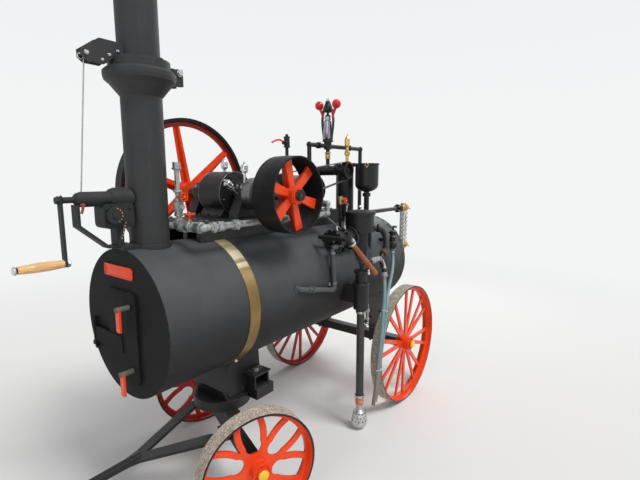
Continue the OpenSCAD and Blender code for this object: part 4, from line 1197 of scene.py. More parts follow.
def block(mesh: bmesh.types.BMesh, low: Point, high: Point, at: Matrix = Matrix()) -> list:
    """Add a box.

    Args:
        mesh: Mesh that takes it.
        low: Lowest corner.
        high: Highest corner.
        at: Placement.

    Returns:
        Its edges.
    """
    made = bmesh.ops.create_cube(mesh, size=1.0)["verts"]
    span = Vector(high) - Vector(low)
    centre = (Vector(high) + Vector(low)) / 2
    for vert in made:
        vert.co = at @ (Vector([c * s for c, s in zip(vert.co, span)]) + centre)
    return list(dict.fromkeys(edge for vert in made for edge in vert.link_edges))


def soften(mesh: bmesh.types.BMesh, edges: list, width: float) -> None:
    """Round a list of edges off by a small width, last of all so that every run is the same."""
    bmesh.ops.bevel(mesh, geom=edges, offset=width, segments=2, affect="EDGES", profile=0.7)


@dataclass
class Hoses(SubAssembly):
    """The two soft hoses from the near side's fittings, on the routes that the solids have."""

    radius: float = 0.012
    fine: int = 5
    tie_gap: float = 0.0012
    delivery: tuple[Point, ...] = (
        (-0.593, 0.480, 0.966), (-0.593, 0.480, 0.940), (-0.586, 0.485, 0.908),
        (-0.574, 0.494, 0.868), (-0.560, 0.501, 0.824), (-0.546, 0.506, 0.780),
        (-0.533, 0.511, 0.736), (-0.520, 0.515, 0.690), (-0.507, 0.519, 0.644),
        (-0.495, 0.522, 0.598), (-0.482, 0.524, 0.552), (-0.470, 0.526, 0.506),
        (-0.458, 0.528, 0.460), (-0.447, 0.529, 0.412), (-0.437, 0.530, 0.364),
        (-0.428, 0.530, 0.314), (-0.418, 0.530, 0.262), (-0.400, 0.528, 0.180),
    )
    drain: tuple[Point, ...] = (
        (-0.903, 0.372, 1.060), (-0.903, 0.372, 1.036), (-0.892, 0.381, 1.006),
        (-0.865, 0.396, 0.980), (-0.825, 0.414, 0.940), (-0.770, 0.433, 0.898),
        (-0.705, 0.455, 0.858), (-0.645, 0.478, 0.815), (-0.600, 0.497, 0.765),
        (-0.568, 0.508, 0.700), (-0.540, 0.516, 0.630), (-0.512, 0.521, 0.560),
        (-0.492, 0.524, 0.490), (-0.475, 0.526, 0.424), (-0.459, 0.527, 0.344),
        (-0.444, 0.527, 0.260), (-0.426, 0.525, 0.190),
    )
    clamps: tuple[Point, ...] = ((-0.593, 0.480, 0.948), (-0.903, 0.372, 1.042))
    ties: tuple[Point, ...] = ((-0.537, 0.512, 0.742), (-0.443, 0.528, 0.390))

    def build(self) -> None:
        for name, route in (("delivery_hose", self.delivery), ("drain_hose", self.drain)):
            path = smooth_path(route, self.fine)
            mesh = bmesh.new()
            tube(mesh, path, self.radius, 20)
            piece = self.finish(mesh, name + "_soft", TEAL)
            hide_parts(name)
        self._clamps()
        self._ties()

    def _clamps(self) -> None:
        """Worm clamps where the hoses leave their fittings."""
        mesh = bmesh.new()
        for place in self.clamps:
            sleeve(mesh, stand(place), 0.0118, 0.0138, 0.010)
            screw = aimed(Vector(place) + Vector((0.004, 0.016, 0.005)), (1.0, 0.2, 0.0))
            hexagon(mesh, screw, 0.008, 0.012)
        self.finish(mesh, "hose_clamps", STEEL)

    def _ties(self) -> None:
        """White ties that bind the two hoses."""
        mesh = bmesh.new()
        lines = [smooth_path(route, self.fine) for route in (self.delivery, self.drain)]
        for place in self.ties:
            first, second = (min(line, key=lambda p: (p - Vector(place)).length) for line in lines)
            centre = (first + second) / 2
            reach = (second - first).length / 2 + self.radius + self.tie_gap
            across = (second - first).normalized()
            other = Vector((0.25, 0.0, -0.97)).cross(across).normalized()
            loop = []
            for k in range(25):
                turn = 2 * math.pi * k / 24
                side = across * reach * math.cos(turn)
                loop.append(centre + side + other * (self.radius + self.tie_gap) * math.sin(turn))
            tube(mesh, loop, 0.0024, 8)
            lock = stand(centre + other * (self.radius + 0.003))
            block(mesh, (-0.005, -0.004, -0.004), (0.005, 0.004, 0.004), lock)
        self.finish(mesh, "hose_ties", TIE)


@dataclass
class SmokeboxDetails(SubAssembly):
    """Blank plate on the shell's front and the nut of the hatch's hinge pin."""

    plate_low: tuple[float, float] = (-0.140, 1.144)
    plate_high: tuple[float, float] = (0.090, 1.196)
    rim: float = 0.006
    hinge_top: Point = (FACE_X + 0.0125, -0.250, 0.9196)

    def build(self) -> None:
        """Make the pieces."""
        self._plate()
        mesh = bmesh.new()
        hexagon(mesh, stand(self.hinge_top), 0.019, 0.010)
        self.finish(mesh, "hinge_nut", FACE_BLACK, "smokebox_door")

    def _plate(self) -> None:
        """Blank orange plate with a raised rim and two screws."""
        (y0, z0), (y1, z1) = self.plate_low, self.plate_high
        mesh = bmesh.new()
        x, rim = FACE_X + 0.0003, self.rim
        edges = block(mesh, (x, y0, z0), (x + 0.003, y1, z1))
        for low, high in (
            ((y0, z0), (y1, z0 + rim)), ((y0, z1 - rim), (y1, z1)),
            ((y0, z0), (y0 + rim, z1)), ((y1 - rim, z0), (y1, z1)),
        ):
            edges += block(mesh, (x + 0.001, *low), (x + 0.0055, *high))
        for y in (y0 + 0.016, y1 - 0.016):
            rivet(mesh, aimed((x + 0.0028, y, (z0 + z1) / 2), FORE), 0.005)
        soften(mesh, edges, 0.0008)
        self.finish(mesh, "blank_plate", ORANGE)


@dataclass
class ChimneyDetails(SubAssembly):
    """Bolts of the fold joint, the lever's pins, collar rivets and the winch's wire."""

    fold: tuple[float, float] = (0.527, 2.026)
    lever_end: tuple[float, float] = (0.923, 2.0305)
    lever_side: float = 0.0242
    flange_top: float = 2.0446
    collar: Point = (CHIMNEY_X, 0, 1.347)
    wire_top: Point = (0.923, 0, 2.020)
    wire_foot: Point = (0.973, 0, 1.512)

    def build(self) -> None:
        """Make the pieces."""
        self._bolts()
        self._rivets()
        self._wire()

    def _bolts(self) -> None:
        """Hexagon heads on the flange, nuts of the hinge pin and the lever's bright pins."""
        mesh = bmesh.new()
        crown(mesh, stand((CHIMNEY_X, 0, self.flange_top)), 0.104, 8, 0.015, 0.009)
        self.finish(mesh, "flange_bolts", CHIMNEY, "upper_chimney")
        mesh = bmesh.new()
        end_x, end_z = self.lever_end
        for side in (-1, 1):
            way = (0, side, 0)
            hexagon(mesh, aimed((self.fold[0], side * 0.0345, self.fold[1]), way), 0.024, 0.012)
            hexagon(mesh, aimed((end_x, side * self.lever_side, end_z), way), 0.013, 0.009)
            for x, z in ((0.802, 2.060), (0.836, 2.040), (0.865, 2.017)):
                hexagon(mesh, aimed((x, side * self.lever_side, z), way), 0.009, 0.006)
        bead(mesh, aimed((end_x + 0.012, 0, end_z - 0.012), LEFT), 0.010, 0.0022)
        self.finish(mesh, "lever_bolts", STEEL, "upper_chimney")

    def _rivets(self) -> None:
        """Two small rivets of the chimney's collar."""
        mesh = bmesh.new()
        for turn in (math.radians(83.6), math.radians(263.6)):
            out = Vector((math.cos(turn), math.sin(turn), 0))
            rivet(mesh, aimed(Vector(self.collar) + out * 0.0838, out), 0.005)
        self.finish(mesh, "collar_rivets", CHIMNEY)

    def _wire(self) -> None:
        """Thin straight wire from the lever down to the winch, on no body."""
        mesh = bmesh.new()
        tube(mesh, straight(self.wire_top, self.wire_foot, 40), 0.0028, 8)
        wire = self.finish(mesh, "winch_wire", WIRE, None)
        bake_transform(wire)


@dataclass
class WinchDetails(SubAssembly):
    """Disc, strap, chain pins, pawl and joints of the chimney's hand winch."""

    wheel: Point = (0.878, 0.0585, 1.416)
    strap_y: float = 0.0645
    drum_z: float = 1.482
    joint_x: float = FACE_X + 0.210
    grip_x: float = FACE_X + 0.222
    grip_z: float = 1.242

    def build(self) -> None:
        """Make the pieces."""
        self._chain()
        self._nuts()
        self._pawl()
        self._crank()

    def _chain(self) -> None:
        """Dark disc, the strap that hangs from it and the brass pins of the chain."""
        x, _, z = self.wheel
        strap = straight((x - 0.040, self.strap_y, z - 0.024), (x - 0.016, self.strap_y, z - 0.098), 8)
        mesh = bmesh.new()
        sleeve(mesh, aimed(self.wheel, LEFT), 0.0, 0.033, 0.006)
        tube(mesh, strap, 0.0055, 10)
        self.finish(mesh, "winch_disc", MATTE)
        mesh = bmesh.new()
        for k in range(6):
            turn = math.radians(-70 + 26 * k)
            spot = (x - 0.029 * math.cos(turn), self.strap_y, z - 0.029 * math.sin(turn))
            rivet(mesh, aimed(spot, LEFT), 0.0034)
            pin = strap[0].lerp(strap[-1], 0.1 + k / 6) + Vector((0, 0.0045, 0))
            rivet(mesh, aimed(pin, LEFT), 0.0030)
        self.finish(mesh, "chain_pins", OLD_BRASS)

    def _nuts(self) -> None:
        """Dark nuts of the disc, of the gear box and on the crank's upper end."""
        mesh = bmesh.new()
        hexagon(mesh, aimed(self.wheel, LEFT) @ lift(0.005), 0.020, 0.010)
        for dx in (-0.045, 0.045):
            for dz in (-0.032, 0.032):
                hexagon(mesh, aimed((0.849 + dx, 0.0422, 1.412 + dz), LEFT), 0.012, 0.006)
        hexagon(mesh, aimed((self.joint_x, 0, self.drum_z), AFT), 0.03, 0.001)
        hexagon(mesh, aimed((self.joint_x + 0.010, 0, self.drum_z), FORE), 0.026, 0.012)
        self.finish(mesh, "winch_nuts", MATTE)

    def _pawl(self) -> None:
        """Small red pawl under the drum's end."""
        mesh = bmesh.new()
        boss = [(0.007, 0), (0.007, 0.016), (0.005, 0.019)]
        lathe(mesh, boss, aimed((0.985, 0.022, 1.462), LEFT), 16)
        path = [(0.985, 0.036, 1.462), (0.988, 0.037, 1.448), (0.994, 0.037, 1.430)]
        tube(mesh, smooth_path(path, 4), 0.0048, 10)
        self.finish(mesh, "winch_pawl", DULL_RED)

    def _crank(self) -> None:
        """Steel joint, ring and end cap of the crank's handle."""
        mesh = bmesh.new()
        hexagon(mesh, aimed((self.joint_x, 0, self.grip_z), AFT), 0.026, 0.012)
        ring = aimed((self.grip_x - 0.0018, 0, self.grip_z), FORE)
        sleeve(mesh, ring, 0.0082, 0.0165, 0.0015)
        cap = [
            (0.0, 0.0), (0.0145, 0.0), (0.0155, 0.002), (0.0155, 0.0062), (0.012, 0.009), (0, 0.0105),
        ]
        lathe(mesh, cap, aimed((self.grip_x + 0.1555, 0, self.grip_z), FORE))
        self.finish(mesh, "crank_joint", STEEL)


@dataclass
class EngineDetails(SubAssembly):
    """Bolts, rims and bright work of the open engine."""

    axis_y: float = -0.125
    cover_front: float = -0.262
    cover_rear: float = -0.636
    arm_turn: float = 13.0

    def build(self) -> None:
        """Make the pieces."""
        self._cylinder()
        self._guard()
        self._bearings()
        self._pulley_ribs()
        self._shaft_ends()
        self._cups()

    def _cylinder(self) -> None:
        """Nuts of the covers and of the valve chest, the lagging's two straps and the relief lever."""
        mesh = bmesh.new()
        for x, way, radius, count, across, height in (
            (self.cover_front, FORE, 0.094, 10, 0.018, 0.012),
            (self.cover_rear, AFT, 0.094, 10, 0.018, 0.012),
            (-0.2245, FORE, 0.026, 4, 0.011, 0.009),
        ):
            crown(mesh, aimed((x, self.axis_y, CRANK_Z), way), radius, count, across, height)
        for x in (-0.476, -0.414, -0.352):
            for z in (-0.040, 0.040):
                hexagon(mesh, aimed((x, 0.070, CRANK_Z + z), LEFT), 0.017, 0.010)
        for z in (1.5800, 1.7560, 1.8160):
            sleeve(mesh, stand((-0.364, self.axis_y, z)), 0.009, 0.0215, 0.009, 6)
        self.finish(mesh, "cylinder_nuts", OILY)
        mesh = bmesh.new()
        for x in (-0.560, -0.330):
            sleeve(mesh, aimed((x, self.axis_y, CRANK_Z), FORE), 0.0975, 0.0992, 0.022, 64)
        self.finish(mesh, "lagging_straps", OILY)
        mesh = bmesh.new()
        run = ((-0.330, 1.788), (-0.300, 1.800), (-0.262, 1.795), (-0.226, 1.780))
        tube(mesh, smooth_path([(x, self.axis_y, z) for x, z in run], 4), 0.0055, 10)
        self.finish(mesh, "relief_lever", ORANGE)

    def _guard(self) -> None:
        """Bright turned edges of the round guard and the bolts of its feet."""
        mesh = bmesh.new()
        for y in (-0.0372, -0.2128):
            bead(mesh, aimed((CRANK_X, y, CRANK_Z), LEFT), 0.1150, 0.0020, 72)
        self.finish(mesh, "guard_edges", DULL_STEEL)
        mesh = bmesh.new()
        for x in (-0.125, 0.125):
            for y in (-0.195, -0.125, -0.055):
                hexagon(mesh, stand((CRANK_X + x, y, 1.3642)), 0.016, 0.010)
        crown(mesh, aimed((CRANK_X, -0.0368, CRANK_Z), LEFT), 0.092, 8, 0.011, 0.006)
        self.finish(mesh, "guard_bolts", OILY)

    def _bearings(self) -> None:
        """Studs and nuts of the bearing caps, the brass bushes and the bed's bolts."""
        mesh = bmesh.new()
        for y0 in (0.005, -0.345):
            for x in (-0.043, 0.043):
                for y in (0.018, 0.052):
                    at = stand((CRANK_X + x, y0 + y, 1.506))
                    hexagon(mesh, at, 0.018, 0.018)
                    sleeve(mesh, at, 0.0, 0.0055, 0.026, 12)
        for x in (-0.580, -0.540, 0.440, 0.475):
            for y in (-0.225, -0.030, 0.070):
                hexagon(mesh, stand((x, y, 1.3540)), 0.018, 0.010)
        self.finish(mesh, "bearing_nuts", DULL_STEEL)
        mesh = bmesh.new()
        for y, way in ((0.0832, LEFT), (-0.0032, RIGHT), (-0.3532, RIGHT)):
            sleeve(mesh, aimed((CRANK_X, y, CRANK_Z), way), 0.0278, 0.039, 0.003, 40)
        self.finish(mesh, "bearing_bushes", OLD_BRASS)

    def _pulley_ribs(self) -> None:
        """Ribs along the axle behind the belt pulley's arms, which make them T-shaped."""
        mesh = bmesh.new()
        shape = (
            (0.0055, 0.318, 0.040), (0.0055, 0.3645, 0.040),
            (0.0045, 0.3645, 0.1785), (0.0045, 0.338, 0.1785),
        )
        edges = []
        for k in range(6):
            turn = Matrix.Rotation(math.radians(60 * k + self.arm_turn), 4, "Y")
            at = stand((CRANK_X, 0, CRANK_Z)) @ turn
            low, high = (
                [mesh.verts.new(at @ Vector((side * x, y, z))) for x, y, z in shape]
                for side in (-1, 1)
            )
            faces = [mesh.faces.new(low), mesh.faces.new(high[::-1])]
            for i in range(4):
                n = (i + 1) % 4
                faces.append(mesh.faces.new([low[i], high[i], high[n], low[n]]))
            edges += dict.fromkeys(e for f in faces for e in f.edges)
        sleeve(mesh, aimed((CRANK_X, 0.4058, CRANK_Z), LEFT), 0.0275, 0.039, 0.004, 40)
        soften(mesh, edges, 0.0015)
        self.finish(mesh, "pulley_ribs", ORANGE, "crankshaft")

    def _shaft_ends(self) -> None:
        """Dark ends of the shaft with their centre holes, and the flywheel's handle on an arm."""
        mesh = bmesh.new()
        profile = [(0.004, -0.002), (0.006, 0.0006), (0.0272, 0.0008), (0.0272, -0.004)]
        lathe(mesh, profile, aimed((CRANK_X, 0.4282, CRANK_Z), LEFT))
        lathe(mesh, profile, aimed((CRANK_X, -0.5362, CRANK_Z), RIGHT))
        self.finish(mesh, "shaft_ends", SOOT_AND_HOLE_SHADE, "crankshaft")
        mesh = bmesh.new()
        turn = Matrix.Rotation(math.radians(69), 4, "Y")
        spot = Vector((CRANK_X, -0.4375, CRANK_Z)) + turn @ Vector((0, 0, 0.352))
        levels = [
            (0.022, -0.028), (0.022, -0.004), (0.019, 0.0), (0.012, 0.001), (0.011, 0.012), (0, 0.013),
        ]
        lathe(mesh, levels, aimed(spot, LEFT), 24)
        self.finish(mesh, "flywheel_handle", ORANGE, "crankshaft")

    def _cups(self) -> None:
        """Rings, posts and hexagons of the three oil cups."""
        mesh = bmesh.new()
        slope = Matrix.Rotation(math.radians(50), 4, "Y")
        for at, stem in (
            (stand((CRANK_X + 0.006, 0.040, CRANK_Z + 0.0543)), 0.040),
            (stand((CRANK_X, self.axis_y, CRANK_Z + 0.1163)), 0.0),
            (stand((CRANK_X + 0.0523, 0.040, CRANK_Z - 0.004)) @ slope @ lift(0.006), 0.040),
        ):
            sleeve(mesh, at @ lift(stem + 0.0235), 0.017, 0.0192, 0.004, 28)
            sleeve(mesh, at @ lift(stem + 0.0485), 0.017, 0.0195, 0.005, 28)
            hexagon(mesh, at @ lift(stem + 0.004), 0.017, 0.008)
            for k in range(4):
                turn = Matrix.Rotation(math.pi * (k + 0.5) / 2, 4, "Z")
                sleeve(mesh, at @ (turn @ stand((0.0183, 0, stem + 0.026))), 0.0, 0.0016, 0.024, 8)
        self.finish(mesh, "cup_rings", CHROME)


@dataclass
class SteamPipes(SubAssembly):
    """Unions, elbows and valve bodies of the galvanised exhaust and its blower."""

    bore: float = 0.0158
    blower: tuple[float, float] = (0.587, 0.060)
    line_y: float = 0.236
    line_z: float = 1.350
    stop_x: float = -0.503

    def build(self) -> None:
        """Make the pieces."""
        self._unions()
        self._valves()

    def _unions(self) -> None:
        """Couplings, hexagon unions and beads of the elbows."""
        mesh = bmesh.new()
        bore = self.bore
        for x in (0.480, 0.060, -0.235):
            sleeve(mesh, aimed((x, self.line_y, self.line_z), FORE), bore, 0.0225, 0.034, 28)
        for x in (0.530, 0.395):
            at = aimed((x, self.line_y, self.line_z), FORE)
            lathe(mesh, [(bore, -0.006), (0.021, -0.006), (0.021, 0.0), (bore, 0.0)], at, 24, True)
            nut(mesh, at, bore, 0.0265, 0.016)
            sleeve(mesh, at @ lift(0.016), bore, 0.0215, 0.012, 24)
        for y in (0.090, 0.128, 0.205):
            at = aimed((self.blower[0], y, self.line_z), LEFT)
            nut(mesh, at, bore, 0.0268, 0.014)
            bead(mesh, at @ lift(0.018), 0.0195, 0.004, 28)
        for z in (1.372, 1.392, 1.462, 1.500):
            sleeve(mesh, stand((*self.blower, z)), 0.0108, 0.0198, 0.011, 24)
        for place, way in (
            ((*self.blower, 1.606), UP), ((-0.314, self.line_y, 1.384), UP),
            ((-0.314, 0.208, 1.410), RIGHT), ((-0.282, self.line_y, self.line_z), FORE),
        ):
            bead(mesh, aimed(place, way), 0.0185, 0.0036, 28)
        self.finish(mesh, "pipe_unions", ZINC)

    def _valves(self) -> None:
        """Grey valve body on the standpipe and the brass stems under the handwheels."""
        x = self.blower[0]
        mesh = bmesh.new()
        body = [
            (0.0105, 0.0), (0.019, 0.002), (0.024, 0.014), (0.024, 0.034), (0.019, 0.046), (0.0105, 0.048),
        ]
        lathe(mesh, body, stand((*self.blower, 1.412)), 28)
        sleeve(mesh, aimed((x, 0.076, 1.436), LEFT), 0.0, 0.015, 0.020, 6)
        self.finish(mesh, "blower_valve", GREY_VALVE)
        mesh = bmesh.new()
        for place, way in (
            ((x, 0.0795, 1.480), LEFT), ((x, 0.140, 1.366), UP), ((self.stop_x, 0.216, 1.420), LEFT),
        ):
            at = aimed(place, way)
            lathe(mesh, [(0.0, 0.0), (0.0135, 0.0), (0.0135, 0.006), (0.0, 0.006)], at, 6)
            sleeve(mesh, at @ lift(0.006), 0.0, 0.009, 0.011, 20)
        for place, way in (
            ((x, 0.1085, 1.480), LEFT), ((x, 0.140, 1.4105), UP), ((self.stop_x, 0.2425, 1.420), LEFT),
        ):
            hexagon(mesh, aimed(place, way), 0.009, 0.006)
        body = [(0.0, 0.0), (0.017, 0.0), (0.019, 0.010), (0.019, 0.040), (0.017, 0.050), (0.0, 0.050)]
        lathe(mesh, body, stand((self.stop_x, 0.200, 1.395)), 24)
        self.finish(mesh, "valve_brass", OLD_BRASS)


@dataclass
class GovernorDetails(SubAssembly):
    """Bolts of dome and steam pipe, the governor's sleeve, cone and yoke, and two stay rods."""

    dome: tuple[float, float] = (GOVERNOR_X - 0.175, 0.042)
    axis: tuple[float, float] = (GOVERNOR_X, GOVERNOR_Y)

    def build(self) -> None:
        """Make the pieces."""
        self._bolts()
        self._column()
        self._rods()

    def _bolts(self) -> None:
        """Hexagon heads of the dome, of the pipe's flanges and of the stand."""
        mesh = bmesh.new()
        crown(mesh, stand((*self.dome, 1.655)), 0.066, 8, 0.015, 0.010)
        crown(mesh, stand((*self.dome, 1.2852)), 0.074, 10, 0.016, 0.010)
        for x, top in ((-0.414, 1.5492), (-1.023, 1.2852)):
            crown(mesh, stand((x, GOVERNOR_Y, top)), 0.0225, 4, 0.011, 0.008)
        for x in (-0.520, -0.880):
            nut(mesh, aimed((x, GOVERNOR_Y, 1.772), FORE), 0.0138, 0.0225, 0.018)
        crown(mesh, aimed((GOVERNOR_X, 0.0902, 1.610), LEFT), 0.026, 4, 0.009, 0.006)
        self.finish(mesh, "dome_bolts", OILY)

    def _column(self) -> None:
        """Brass sleeve of the column, the polished cone in the cage and the dark yoke above it."""
        mesh = bmesh.new()
        sleeve(mesh, stand((*self.axis, 1.690)), 0.0128, 0.0175, 0.030, 28)
        sleeve(mesh, stand((*self.axis, 1.724)), 0.0128, 0.0200, 0.010, 28)
        self.finish(mesh, "column_sleeve", OLD_BRASS)
        cone = [
            (0.0, 1.816), (0.026, 1.817), (0.031, 1.826), (0.030, 1.880), (0.026, 1.935), (0.0, 1.960),
        ]
        yoke = [
            (0.0, 1.988), (0.020, 1.990), (0.029, 2.004), (0.028, 2.022), (0.015, 2.048), (0.0, 2.050),
        ]
        for name, levels, steps, look in (
            ("governor_cone", cone, 36, CONE), ("governor_yoke", yoke, 32, OILY),
        ):
            mesh = bmesh.new()
            lathe(mesh, levels, stand((*self.axis, 0.0)), steps)
            self.finish(mesh, name, look, "governor_spindle")

    def _rods(self) -> None:
        """Two thin stays beside the engine bed."""
        mesh = bmesh.new()
        for top, foot in (
            ((-0.560, 0.215, 1.390), (-0.470, 0.255, 1.262)),
            ((-0.330, 0.212, 1.335), (-0.392, 0.262, 1.262)),
        ):
            tube(mesh, straight(top, foot, 6), 0.0055, 12)
            for place in (top, foot):
                hexagon(mesh, aimed(place, LEFT), 0.016, 0.010)
        self.finish(mesh, "stay_rods", DULL_STEEL)


@dataclass
class FeedDetails(SubAssembly):
    """Fittings of the tank, pumps, lever, suction and the moulded ribbed elbow."""

    tank: Point = (-0.583, 0.300, 1.345)
    pump: Point = (-0.485, 0.285, 1.188)
    lever_top: Point = (-0.193, 0.475, 1.227)
    lever_foot: Point = (-0.483, 0.475, 0.987)
    hand: tuple[float, float] = (-0.393, 0.432)
    drain: tuple[float, float] = (-0.453, 0.442)
    suction_r: float = 0.0284
    run: tuple[Point, ...] = (
        (-0.318, 0.3258, 1.159), (-0.262, 0.3287, 1.162), (-0.241, 0.3298, 1.158),
        (-0.235, 0.331, 1.138), (-0.235, 0.338, 1.050), (-0.234, 0.345, 0.942),
        (-0.227, 0.346, 0.924), (-0.205, 0.347, 0.924), (-0.010, 0.347, 0.966),
        (0.052, 0.346, 0.980), (0.070, 0.340, 0.984), (0.076, 0.320, 0.986),
    )
    outlet: tuple[Point, ...] = (
        (-0.500, 0.432, 1.052), (-0.570, 0.432, 1.053), (-0.604, 0.434, 1.050),
        (-0.622, 0.440, 1.034), (-0.610, 0.460, 1.008), (-0.595, 0.479, 0.984),
        (-0.593, 0.480, 0.964),
    )
    elbow: tuple[Point, ...] = (
        (-0.662, 0.379, 1.238), (-0.682, 0.396, 1.233), (-0.698, 0.410, 1.214),
        (-0.705, 0.419, 1.184), (-0.706, 0.426, 1.144), (-0.694, 0.430, 1.106),
        (-0.657, 0.431, 1.079),
    )

    def build(self) -> None:
        """Make the pieces."""
        self._tank()
        self._pump_bolts()
        self._pump_pipe()
        self._petcocks()
        self._lever()
        self._hand_pump()
        self._outlet()
        self._ribbed()
        self._suction()

    def _tank(self) -> None:
        """Low crowned lid and two rivets, a silver knob, and the pot's brass ring."""
        x, y, z = self.tank
        mesh = bmesh.new()
        lid = [
            (0.098, 0.0), (0.0975, 0.0045), (0.088, 0.006), (0.060, 0.012), (0.030, 0.016), (0, 0.017),
        ]
        lathe(mesh, lid, stand(self.tank), 48)
        for turn in (0.5, 1.4):
            out = (math.sin(turn), math.cos(turn), 0)
            place = (x + 0.0915 * out[0], y + 0.0915 * out[1], z - 0.060)
            rivet(mesh, aimed(place, out), 0.006)
        self.finish(mesh, "tank_lid", MATTE)
        mesh = bmesh.new()
        knob = [
            (0.007, 0.012), (0.006, 0.022), (0.012, 0.028), (0.013, 0.036), (0.009, 0.042), (0, 0.044),
        ]
        lathe(mesh, knob, stand(self.tank), 20)
        self.finish(mesh, "tank_knob", STEEL)
        mesh = bmesh.new()
        bead(mesh, aimed((-0.740, 0.248, 1.648), (1, 0.6, 0)), 0.011, 0.0034, 28)
        lathe(mesh, [(0.006, 0), (0.006, 0.012), (0.0, 0.013)], aimed((-0.743, 0.246, 1.628), UP), 16)
        self.finish(mesh, "pot_ring", OLD_BRASS)

    def _pump_bolts(self) -> None:
        """Bolts round the feed pump's flanges, its gland nut and the couplings of its pipe."""
        x, y, z = self.pump
        mesh = bmesh.new()
        for px, way in ((x + 0.190, FORE), (x + 0.103, FORE), (x, AFT)):
            crown(mesh, aimed((px, y, z), way), 0.0645, 10, 0.011, 0.008)
        nut(mesh, aimed((x + 0.200, y, z), FORE), 0.0238, 0.031, 0.012)
        for place in ((-0.235, 0.331, 1.124), (-0.235, 0.3445, 0.950)):
            sleeve(mesh, stand(place), 0.0138, 0.0190, 0.016, 24)
        for place in ((-0.214, 0.3215, 0.944), (-0.180, 0.307, 0.958)):
            nut(mesh, aimed(place, (1, -0.42, 0.38)), 0.0138, 0.021, 0.012)
        self.finish(mesh, "pump_bolts", DULL_STEEL)

    def _pump_pipe(self) -> None:
        """Grey pipe down from the pump and forward along the barrel to its union and flange."""
        mesh = bmesh.new()
        tube(mesh, smooth_path(self.run, 5), 0.0145, 18)
        for place in ((-0.238, 0.3300, 1.158), (-0.231, 0.345, 0.928)):
            bead(mesh, aimed(place, (0.7, 0, -0.7)), 0.0135, 0.0050, 24)
        for place in ((-0.034, 0.347, 0.961), (-0.002, 0.347, 0.968)):
            nut(mesh, aimed(place, (1, 0, 0.21)), 0.0140, 0.0215, 0.013)
        sleeve(mesh, aimed((0.076, 0.3270, 0.986), LEFT), 0.0135, 0.022, 0.006, 24)
        self.finish(mesh, "pump_pipe", PIPE_GREY)

    def _petcocks(self) -> None:
        """Small bright cocks with a cross pin, two on the feed pump and one on the hand pump."""
        mesh = bmesh.new()
        cock = [(0.009, -0.004), (0.009, 0.010), (0.006, 0.013), (0.006, 0.028), (0.0, 0.030)]
        for x, y, z in ((-0.430, 0.285, 1.246), (-0.345, 0.285, 1.246), (-0.400, 0.478, 1.000)):
            lathe(mesh, cock, stand((x, y, z)), 16)
            tube(mesh, [(x - 0.014, y, z + 0.020), (x + 0.014, y, z + 0.020)], 0.003, 8)
        self.finish(mesh, "petcocks", STEEL)

    def _lever(self) -> None:
        """Bright ferrule and pin of the wooden lever."""
        top = Vector(self.lever_top)
        mesh = bmesh.new()
        at = aimed(top, Vector(self.lever_foot) - top)
        sleeve(mesh, at @ lift(0.022), 0.0208, 0.0226, 0.018, 28)
        hexagon(mesh, aimed(top + Vector((0, 0.0205, 0)), LEFT), 0.018, 0.009)
        self.finish(mesh, "lever_ferrule", STEEL)

    def _hand_pump(self) -> None:
        """Bolts of the hand pump's two flanges."""
        mesh = bmesh.new()
        crown(mesh, stand((*self.hand, 1.0142)), 0.036, 6, 0.012, 0.008)
        sleeve(mesh, stand((*self.hand, 0.926)), 0.0335, 0.050, 0.014, 40)
        crown(mesh, stand((*self.hand, 0.940)), 0.042, 6, 0.011, 0.007)
        self.finish(mesh, "hand_pump_bolts", OILY)

    def _outlet(self) -> None:
        """Galvanised elbow of the hand pump and the small steel drain."""
        mesh = bmesh.new()
        bend = smooth_path(self.outlet, 6)
        tube(mesh, bend, 0.0170, 20)
        for k in (2, -1):
            sleeve(mesh, aimed(bend[k], bend[k] - bend[k - 1]), 0.0165, 0.0215, 0.014, 24)
        nut(mesh, aimed(bend[10], bend[11] - bend[10]), 0.0165, 0.0235, 0.014)
        for z in (0.690, 0.745):
            sleeve(mesh, stand((*self.drain, z)), 0.0088, 0.0145, 0.016, 6)
        sleeve(mesh, stand((*self.drain, 0.702)), 0.0088, 0.0105, 0.092, 20)
        ball = [(0.0, -0.014), (0.010, -0.010), (0.014, 0.0), (0.010, 0.010), (0.0, 0.014)]
        lathe(mesh, ball, stand((-0.452, 0.442, 0.676)), 24)
        tail = [(-0.452, 0.442, 0.672), (-0.443, 0.442, 0.664), (-0.430, 0.442, 0.658)]
        tube(mesh, tail, 0.0085, 14)
        self.finish(mesh, "outlet_elbow", ZINC)

    def _ribbed(self) -> None:
        """Moulded ribbed elbow from the tank to the hand pump, its clamp and its rusty end."""
        line = smooth_path(self.elbow, 22)
        waves = [0.5 + 0.5 * math.cos(2 * math.pi * i / 8) for i in range(len(line))]
        mesh = bmesh.new()
        tube(mesh, line, [0.0178 + 0.0044 * wave**0.7 for wave in waves], 22)
        elbow = self.finish(mesh, "ribbed_elbow", RUBBER, smooth=60.0)
        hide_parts("ribbed_hose")
        mesh = bmesh.new()
        at = aimed(line[5], line[6] - line[5])
        sleeve(mesh, at, 0.0185, 0.0238, 0.012, 28)
        hexagon(mesh, at @ (stand((0, 0.025, 0.005)) @ Matrix.Rotation(1.57, 4, "Y")), 0.009, 0.010)
        self.finish(mesh, "elbow_clamp", OILY)
        mesh = bmesh.new()
        sleeve(mesh, aimed(line[-12], line[-11] - line[-12]), 0.0185, 0.0240, 0.022, 28)
        self.finish(mesh, "elbow_ring", RUST)

